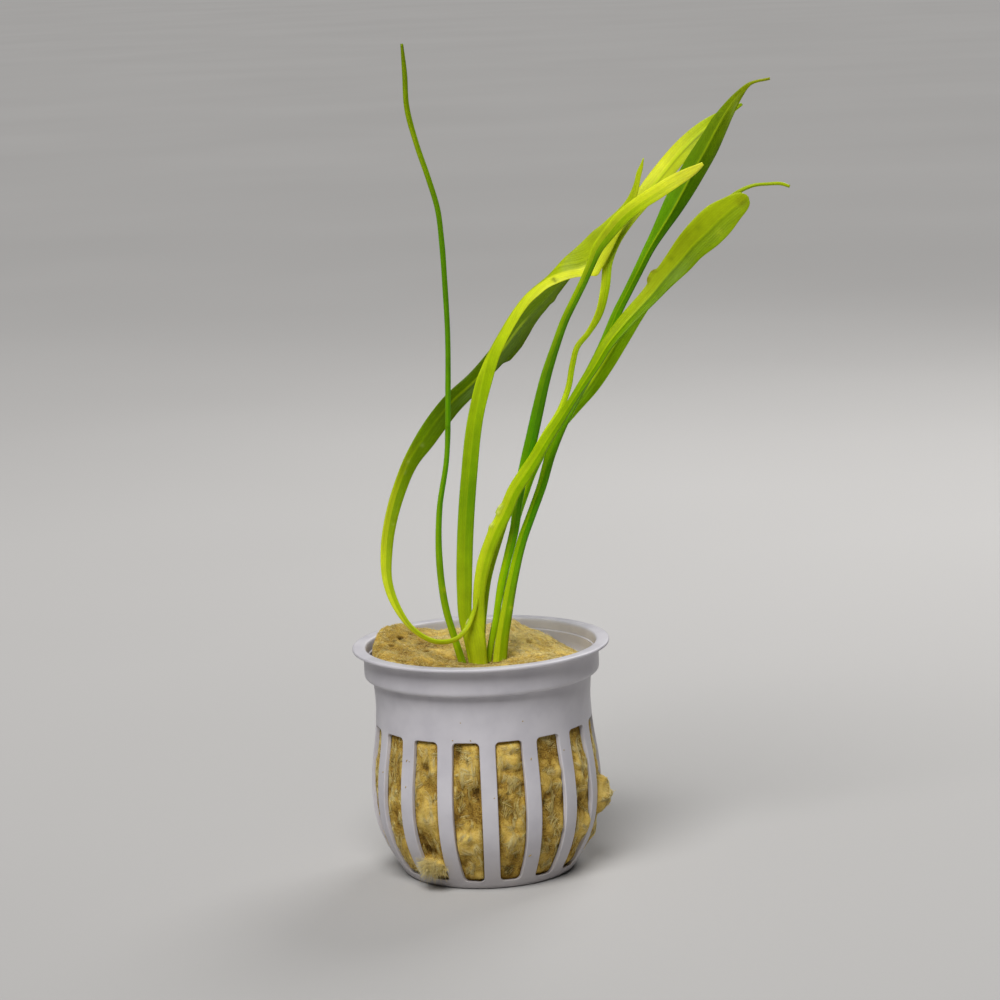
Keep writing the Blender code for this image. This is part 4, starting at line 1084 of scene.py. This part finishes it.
# The side is -1 for the left half and 1 for the right half; a stop is a share and a factor.
LEAF_MARGINS = {
    "looping_leaf": [(-1, [(0.33, 1), (0.42, 0.9), (0.5, 0.9), (0.58, 1)]), (1, [(0.3, 1), (0.42, 1.12),
        (0.56, 1.18), (0.64, 1.0), (0.7, 0.8), (0.75, 0.6), (0.775, 0.62), (0.787, 0.92), (0.82, 0.98),
        (0.85, 0.84), (0.89, 0.5), (0.915, 0.4), (0.924, 0.55), (0.93, 0.52), (0.937, 0.36), (0.96, 0.35),
        (1, 0.6)])],
    "oval_leaf": [(-1, [(0.19, 1), (0.23, 0.85), (0.248, 0.85), (0.258, 1.05), (0.266, 0.85), (0.28, 0.82),
        (0.286, 1.1), (0.3, 1.0), (0.305, 0.8), (0.4, 0.74), (0.43, 0.85), (0.5, 1), (0.77, 1), (0.776, 1.3),
        (0.788, 1.36), (0.794, 1.3), (0.8, 1.02), (0.808, 0.98), (0.83, 0.96), (0.87, 1)]),
        (1, [(0.7, 1), (0.76, 1.03), (0.8, 1.06), (0.86, 0.94), (0.9, 0.96), (0.95, 1)])],
    "tall_leaf": [(-1, [(0.7, 1), (0.76, 1.06), (0.82, 1), (0.88, 1.0), (0.9, 1.1), (0.94, 1)]),
        (1, [(0.7, 1), (0.78, 1.15), (0.86, 1.3), (0.92, 1.35), (0.95, 1.15), (0.97, 1)])],
}
# A knob is a column, a share of the length, a radius and a height in mm.
LEAF_KNOBS = {
    "oval_leaf": [(-0.8, 0.3, 0.6, 0.4), (-0.62, 0.289, 0.5, 0.3), (-0.85, 0.262, 0.5, 0.35),
        (0.1, 0.272, 0.5, 0.12)],
    "looping_leaf": [(-0.2, 0.52, 0.35, 0.1), (0.3, 0.56, 0.4, 0.1)],
    "thread_leaf": [(0.7, 0.155, 0.5, 0.14), (-0.6, 0.4, 0.4, 0.08)],
}
# How strongly the midrib and the painted shade of its groove show, at shares of the length.
LEAF_RIBS = {
    "looping_leaf": [(0, 0.0), (0.3, 0.1), (0.6, 0.12), (0.75, 0.7), (0.85, 0.5), (0.88, 0.0), (1, 0.0)],
    "strap_leaf": [(0, 0.0), (0.15, 0.15), (0.5, 0.25), (0.6, 0.1), (0.72, 0.6), (0.85, 0.4), (1, 0.0)],
    "wavy_leaf": [(0, 0.0), (0.7, 0.0), (0.8, 1.2), (0.95, 1.2), (1, 0.0)],
    "tall_leaf": [(0, 0.0), (0.35, 0.2), (0.6, 0.5), (0.75, 0.7), (0.9, 0.5), (0.96, 0.0), (1, 0.0)],
    "oval_leaf": [(0, 0.0), (0.2, 0.3), (0.5, 0.5), (0.65, 1.0), (0.85, 0.7), (0.95, 0.4), (1, 0.1)],
    "front_leaf": [(0, 0.0), (0.8, 0.0), (0.88, 0.3), (1, 0.1)],
    "back_leaf": [(0, 0.0), (0.45, 0.2), (0.52, 1.0), (0.6, 0.9), (0.68, 0.2), (0.8, 0.0), (1, 0.0)],
}
print("forms for", len(LEAF_FORMS), "leaves")

# %% Tints and marks
FRESH_LEAF = ("#142E00", "#326400", "#5C9A02", "#9CC006", "#DCEA1C")
YELLOWED_LEAF = ("#333000", "#6C6602", "#989008", "#C2B81C", "#ECE64E")
# Tones are partly the leaves' own colour and partly painted light and shade, with glow at the stems' feet.
LEAF_TINTS = {
    "thread_leaf": [(0, 0.7, 0.6, 0.3), (0.3, 0.6, 0.5, 0), (0.7, 0.45, 0.4, 0.1), (0.85, 0.6, 0.5, 0.4),
        (1, 0.45, 0.4, 0.5)],
    "looping_leaf": [(0, 0.8, 0.8, 0.2), (0.2, 0.95, 0.8, 0.3), (0.45, 0.8, 0.5, 0.4), (0.65, 0.3, 0.25, 0.3),
        (1, 0.3, 0.2, 0.4)],
    "strap_leaf": [(0, 0.8, 0.75, 0.3), (0.3, 0.6, 0.5, 0.2), (0.55, 0.85, 0.8, 0.1), (0.75, 0.7, 1, 0.4),
        (1, 0.8, 0.8, 0.3)],
    "wavy_leaf": [(0, 0.6, 0.6, 0.3), (0.3, 0.9, 0.8, 0), (0.7, 0.85, 0.75, 0.2), (0.85, 1, 0.85, 0.4),
        (1, 0.6, 0.6, 0.3)],
    "tall_leaf": [(0, 0.9, 0.7, 0.3), (0.25, 0.7, 0.5, -0.1), (0.5, 0.6, 0.6, 0), (0.75, 0.5, 0.2, 0.1),
        (0.9, 0.4, 0.3, 0.4), (1, 0.6, 0.6, 0.7)],
    "oval_leaf": [(0, 0.9, 0.9, 0.1), (0.3, 0.9, 0.7, 0.1), (0.55, 0.6, 0.5, 0.2), (0.75, 0.8, 0.5, 0.3),
        (1, 0.7, 0.6, 0.4)],
    "front_leaf": [(0, 0.6, 0.7, 0.5), (0.2, 0.9, 0.8, -0.6), (0.45, 0.5, 0.4, 0), (0.75, 0.8, 0.5, 0.1),
        (0.9, 1, 0.85, 0.2), (1, 1, 1, 0.7)],
    "back_leaf": [(0, 0.6, 0.6, 0.2), (0.3, 0.9, 0.8, -0.6), (0.55, 1, 0.7, 0), (0.75, 0.8, 0.5, 0.2),
        (1, 0.7, 0.7, 0.4)],
    "leaf_sheath": [(0, 0.7, 0.7, 0.8), (0.5, 0.8, 0.8, 0.3), (1, 0.9, 0.9, 0)],
}
# A mark is a column, a share of the length, a radius in mm, a colour and its strength.
LEAF_MARKS = {
    "strap_leaf": [(0.45, 0.725, 0.45, "#4E5A04", 0.8), (0.7, 0.727, 0.4, "#4E5A04", 0.7)],
    "oval_leaf": [(-1, 0.776, 0.5, "#7A5210", 0.7), (-1, 0.794, 0.45, "#6E4A10", 0.7),
        # Pale marks on the stem's beads: partly their own whitish colour and partly a painted highlight.
        (-0.85, 0.3, 0.5, "#F2F4B0", 0.6), (-0.7, 0.288, 0.4, "#F2F4B0", 0.5),
        (-0.9, 0.262, 0.45, "#F2F4B0", 0.6), (0.05, 0.985, 1.1, "#7A7A10", 0.5),
        (-0.4, 0.9, 0.8, "#5E7606", 0.4), (0.3, 0.85, 0.7, "#6A8206", 0.35),
        (-0.5, 0.83, 0.5, "#5E7606", 0.35), (0.55, 0.92, 0.8, "#C8D824", 0.3)],
    "looping_leaf": [(-0.2, 0.52, 0.4, "#A8B45C", 0.4), (0.3, 0.56, 0.35, "#A8B45C", 0.35),
        (0.1, 0.5, 0.3, "#B4BE6A", 0.3), (0.6, 0.4, 0.3, "#C2CC5C", 0.3)],
    "thread_leaf": [(0.7, 0.155, 0.6, "#C2C818", 0.5), (0, 0.41, 0.4, "#3E5A04", 0.5)],
    "tall_leaf": [(0.9, 0.12, 0.4, "#C8D420", 0.5)],
}
print("tints at", sum(len(stops) for stops in LEAF_TINTS.values()), "stations")


# %% Build the leaves
def pigment(tone, age):
    """Leaf colours by two numbers: the tone runs along a row of colours, and the age mixes the two rows.
    An age below nought goes the other way, to a green purer than the fresh row."""
    rows = [np.array([linear(code) for code in row]) for row in (FRESH_LEAF, YELLOWED_LEAF)]
    places = np.linspace(0.0, 1.0, len(FRESH_LEAF))
    fresh, yellowed = (
        np.stack([np.interp(tone, places, row[:, k]) for k in range(4)], axis=-1) for row in rows
    )
    return np.clip(fresh * (1 - age[..., None]) + yellowed * age[..., None], 0.0, 1.0)


def tint_layer(stops, share, column):
    """Colour of each point: the tones of the left and right half along the leaf, mixed across the midrib."""
    places, left, right, age = np.array(stops).T
    age = np.interp(share, places, age)
    mix = step(-0.15, 0.15, column)[..., None]
    sides = [pigment(np.interp(share, places, tone), age) for tone in (left, right)]
    return sides[0] * (1 - mix) + sides[1] * mix


def spot(column, share, where_column, where, developed, length, radius):
    """A round bump of height one on the leaf, which falls off with the squared distance."""
    at_column = developed[np.abs(share[:, 0] - where).argmin(), np.abs(column[0] - where_column).argmin()]
    away = (developed - at_column) ** 2 + ((share - where) * length) ** 2
    return np.exp(-away / radius**2)


def build_leaf(name, made, midrib=0.0):
    """Gives a sheet its knobs, its thickness, and the layers that the leaf skin reads."""
    sheet, half, developed, at = made
    share = at[:, None] / at[-1] + 0 * half
    column = COLUMN + 0 * half
    lumps = 0.0 * half
    for where_column, where, radius, height in LEAF_KNOBS.get(name, ()):
        lumps += height * spot(column, share, where_column, where, developed, at[-1], radius)
    tint = tint_layer(LEAF_TINTS[name], share, column)
    for where_column, where, radius, code, strength in LEAF_MARKS.get(name, ()):
        mark = strength * spot(column, share, where_column, where, developed, at[-1], radius)[..., None]
        tint = tint * (1 - mark) + np.array(linear(code)) * mark
    ribbed = np.interp(share, *np.array(LEAF_RIBS.get(name, [(0, 0), (1, 0)])).T)
    grain = np.stack([developed - midrib, share * at[-1], ribbed, 1 + 0 * share], axis=-1)
    points = thicken(sheet, half, lumps)
    tint, grain = (np.concatenate([layer, layer[:, ::-1]], axis=1) for layer in (tint, grain))
    layers = {"tint": tint.reshape(-1, 4), "grain": grain.reshape(-1, 4)}
    return points, closed_faces(*points.shape[:2]), layers


for number, leaf_name in enumerate(LEAF_ROWS):
    plain = plain_sheet(LEAF_ROWS[leaf_name], LEAF_FORMS[leaf_name], LEAF_MARGINS.get(leaf_name, ()),
                        ripple=0.09, seed=number + 1)
    leaf_points, leaf_faces, leaf_layers = build_leaf(leaf_name, plain)
    piece(leaf_name + "_skin", leaf_points.reshape(-1, 3), leaf_faces, skin, [leaf_name],
          layers=leaf_layers)

strap = folded_sheet(STRAP_RAILS, STRAP_THICK)
strap_midrib = np.interp(strap[3] / strap[3][-1], [0, 0.6, 0.7, 0.85, 1], [0, 0, -2.2, -1.2, 0])[:, None]
leaf_points, leaf_faces, leaf_layers = build_leaf("strap_leaf", strap, strap_midrib)
piece("strap_leaf_skin", leaf_points.reshape(-1, 3), leaf_faces, skin, ["strap_leaf"],
      layers=leaf_layers)

# %% [markdown]
# ## The sheath
#
# The leaves' feet wrap round each other in a short fleshy sheath, paler than the blades, partly by its own
# colour and partly as painted light for the glow through it. It is a leaf sheet with a thick, nearly elliptic
# section, which ends in a tongue between the two widest leaves. A shred of dry white skin curls in front of
# the tongue; its pale colour is partly its own and partly a painted highlight for the glint at the sheath's
# split edge. The rootstock under it stays hidden in the wool.

# %% Build the sheath
SHEATH = [
    (0.2, -3.4, 38.0, 3.4, 0), (-0.4, -3.6, 44.5, 3.5, 0), (-1.0, -3.7, 50.0, 4.2, 0),
    (-1.35, -3.65, 52.4, 4.3, 0), (-1.5, -3.6, 54.2, 3.0, 0), (-1.45, -3.5, 55.8, 1.2, 0),
]
SHEATH_FORM = [(0, 0.5, 4, -4, 2.3, 2.4), (0.7, 0.5, 4, -4, 1.9, 3), (0.88, 0.5, 4, -4, 1.2, 3),
    (1, 0.5, 4, -4, 0.4, 3)]
SHRED = [(-2.9, -5.0, 53.5, 0.25, 30), (-2.6, -5.4, 53.9, 0.7, 50), (-2.2, -5.6, 54.3, 0.9, 30),
    (-1.8, -5.3, 54.7, 0.6, 10), (-1.5, -4.9, 55.1, 0.25, 0)]
SHRED_FORM = [(0, 0.5, -30, 30, 0.15, 3), (1, 0.5, -30, 30, 0.15, 3)]
# The shred's pale tint and mark are partly its dry colour and partly a painted highlight.
LEAF_TINTS["skin_shred_and_glint"] = [(0, 1.0, 1.0, 0.5), (1, 1.0, 1.0, 0.5)]
LEAF_MARKS["skin_shred_and_glint"] = [(0, 0.5, 3.0, "#D8D8A8", 0.9)]
for part_name, part_rows, part_form, part_of in (("leaf_sheath", SHEATH, SHEATH_FORM, ["crown"]),
                                                 ("skin_shred_and_glint", SHRED, SHRED_FORM, [])):
    part_points, part_faces, part_layers = build_leaf(part_name, plain_sheet(part_rows, part_form))
    piece(part_name, part_points.reshape(-1, 3), part_faces, skin, part_of,
          layers=part_layers)

# %% [markdown]
# ## The stage
#
# A plain pale floor and soft light. The key light is a sun lamp that stands 33 degrees from overhead towards
# the viewer and a little to the left, as in the photograph, where the lip is bright and the wall below it
# lies in its own shade. Its wide angle lights the whole floor evenly, with soft shadows. A large lamp behind
# lets the leaves glow. The sky is a dim pale grey, and a very faint lamp in front fills the deepest shade.
# Blender's standard view keeps the leaves' strong greens.


# %% Floor and light
def matt_paper():
    made, tree, output = new_material("matt_paper")
    place = add(tree, "ShaderNodeTexCoord").outputs["Object"]
    cloud = add(tree, "ShaderNodeTexNoise", {"Vector": place, "Scale": 3.0, "Detail": 2.0})
    colour = add(tree, "ShaderNodeValToRGB", {0: cloud.outputs["Fac"]},
                 stops=[(0.3, "#B1AFAD"), (0.7, "#B5B3B1")])
    shader = add(tree, "ShaderNodeBsdfPrincipled", {"Base Color": colour.outputs[0], "Roughness": 0.9})
    tree.links.new(shader.outputs[0], output.inputs[0])
    return made


FLOOR_REACH = 20.0
floor_mesh = bpy.data.meshes.new("floor")
floor_corners = np.array([(-1, -1, 0), (1, -1, 0), (1, 1, 0), (-1, 1, 0)]) * FLOOR_REACH
floor_mesh.from_pydata(floor_corners.tolist(), [], [(0, 1, 2, 3)])
floor_mesh.materials.append(matt_paper())
floor = bpy.data.objects.new("floor", floor_mesh)
bpy.context.scene.collection.objects.link(floor)


def area_light(name, at, size, watts, target=(10.0, 0.0, 85.0)):
    """A square light at a place in mm, which faces the plant."""
    data = bpy.data.lights.new(name, "AREA")
    data.size = size * MM
    data.energy = watts
    made = bpy.data.objects.new(name, data)
    way = np.array(target) - np.array(at)
    made.location = [value * MM for value in at]
    tilt = math.atan2(math.hypot(way[0], way[1]), -way[2])
    turn = math.atan2(way[1], way[0]) - math.pi / 2
    made.rotation_euler = (tilt, 0.0, turn)
    bpy.context.scene.collection.objects.link(made)
    return made


# The key light's strength, its width, and its tilt towards the viewer and to the left in degrees.
KEY_ENERGY, KEY_WIDTH, KEY_FORWARD, KEY_LEFT = 3.15, 36.0, 33.0, 12.0
SKY_STRENGTH = 0.03
area_light("fill_light", (-150.0, -1000.0, 450.0), 500.0, 0.02)
area_light("back_light", (300.0, 500.0, 600.0), 400.0, 3.0)
sun_data = bpy.data.lights.new("key_light", "SUN")
sun_data.energy = KEY_ENERGY
sun_data.angle = math.radians(KEY_WIDTH)
sun = bpy.data.objects.new("key_light", sun_data)
sun.rotation_euler = (math.radians(KEY_FORWARD), math.radians(-KEY_LEFT), 0.0)
bpy.context.scene.collection.objects.link(sun)
world = bpy.data.worlds.new("studio")
world.use_nodes = True
sky = world.node_tree.nodes["Background"]
sky.inputs["Color"].default_value = linear("#E8EAEC")
sky.inputs["Strength"].default_value = SKY_STRENGTH
bpy.context.scene.world = world
bpy.context.scene.view_settings.view_transform = "Standard"
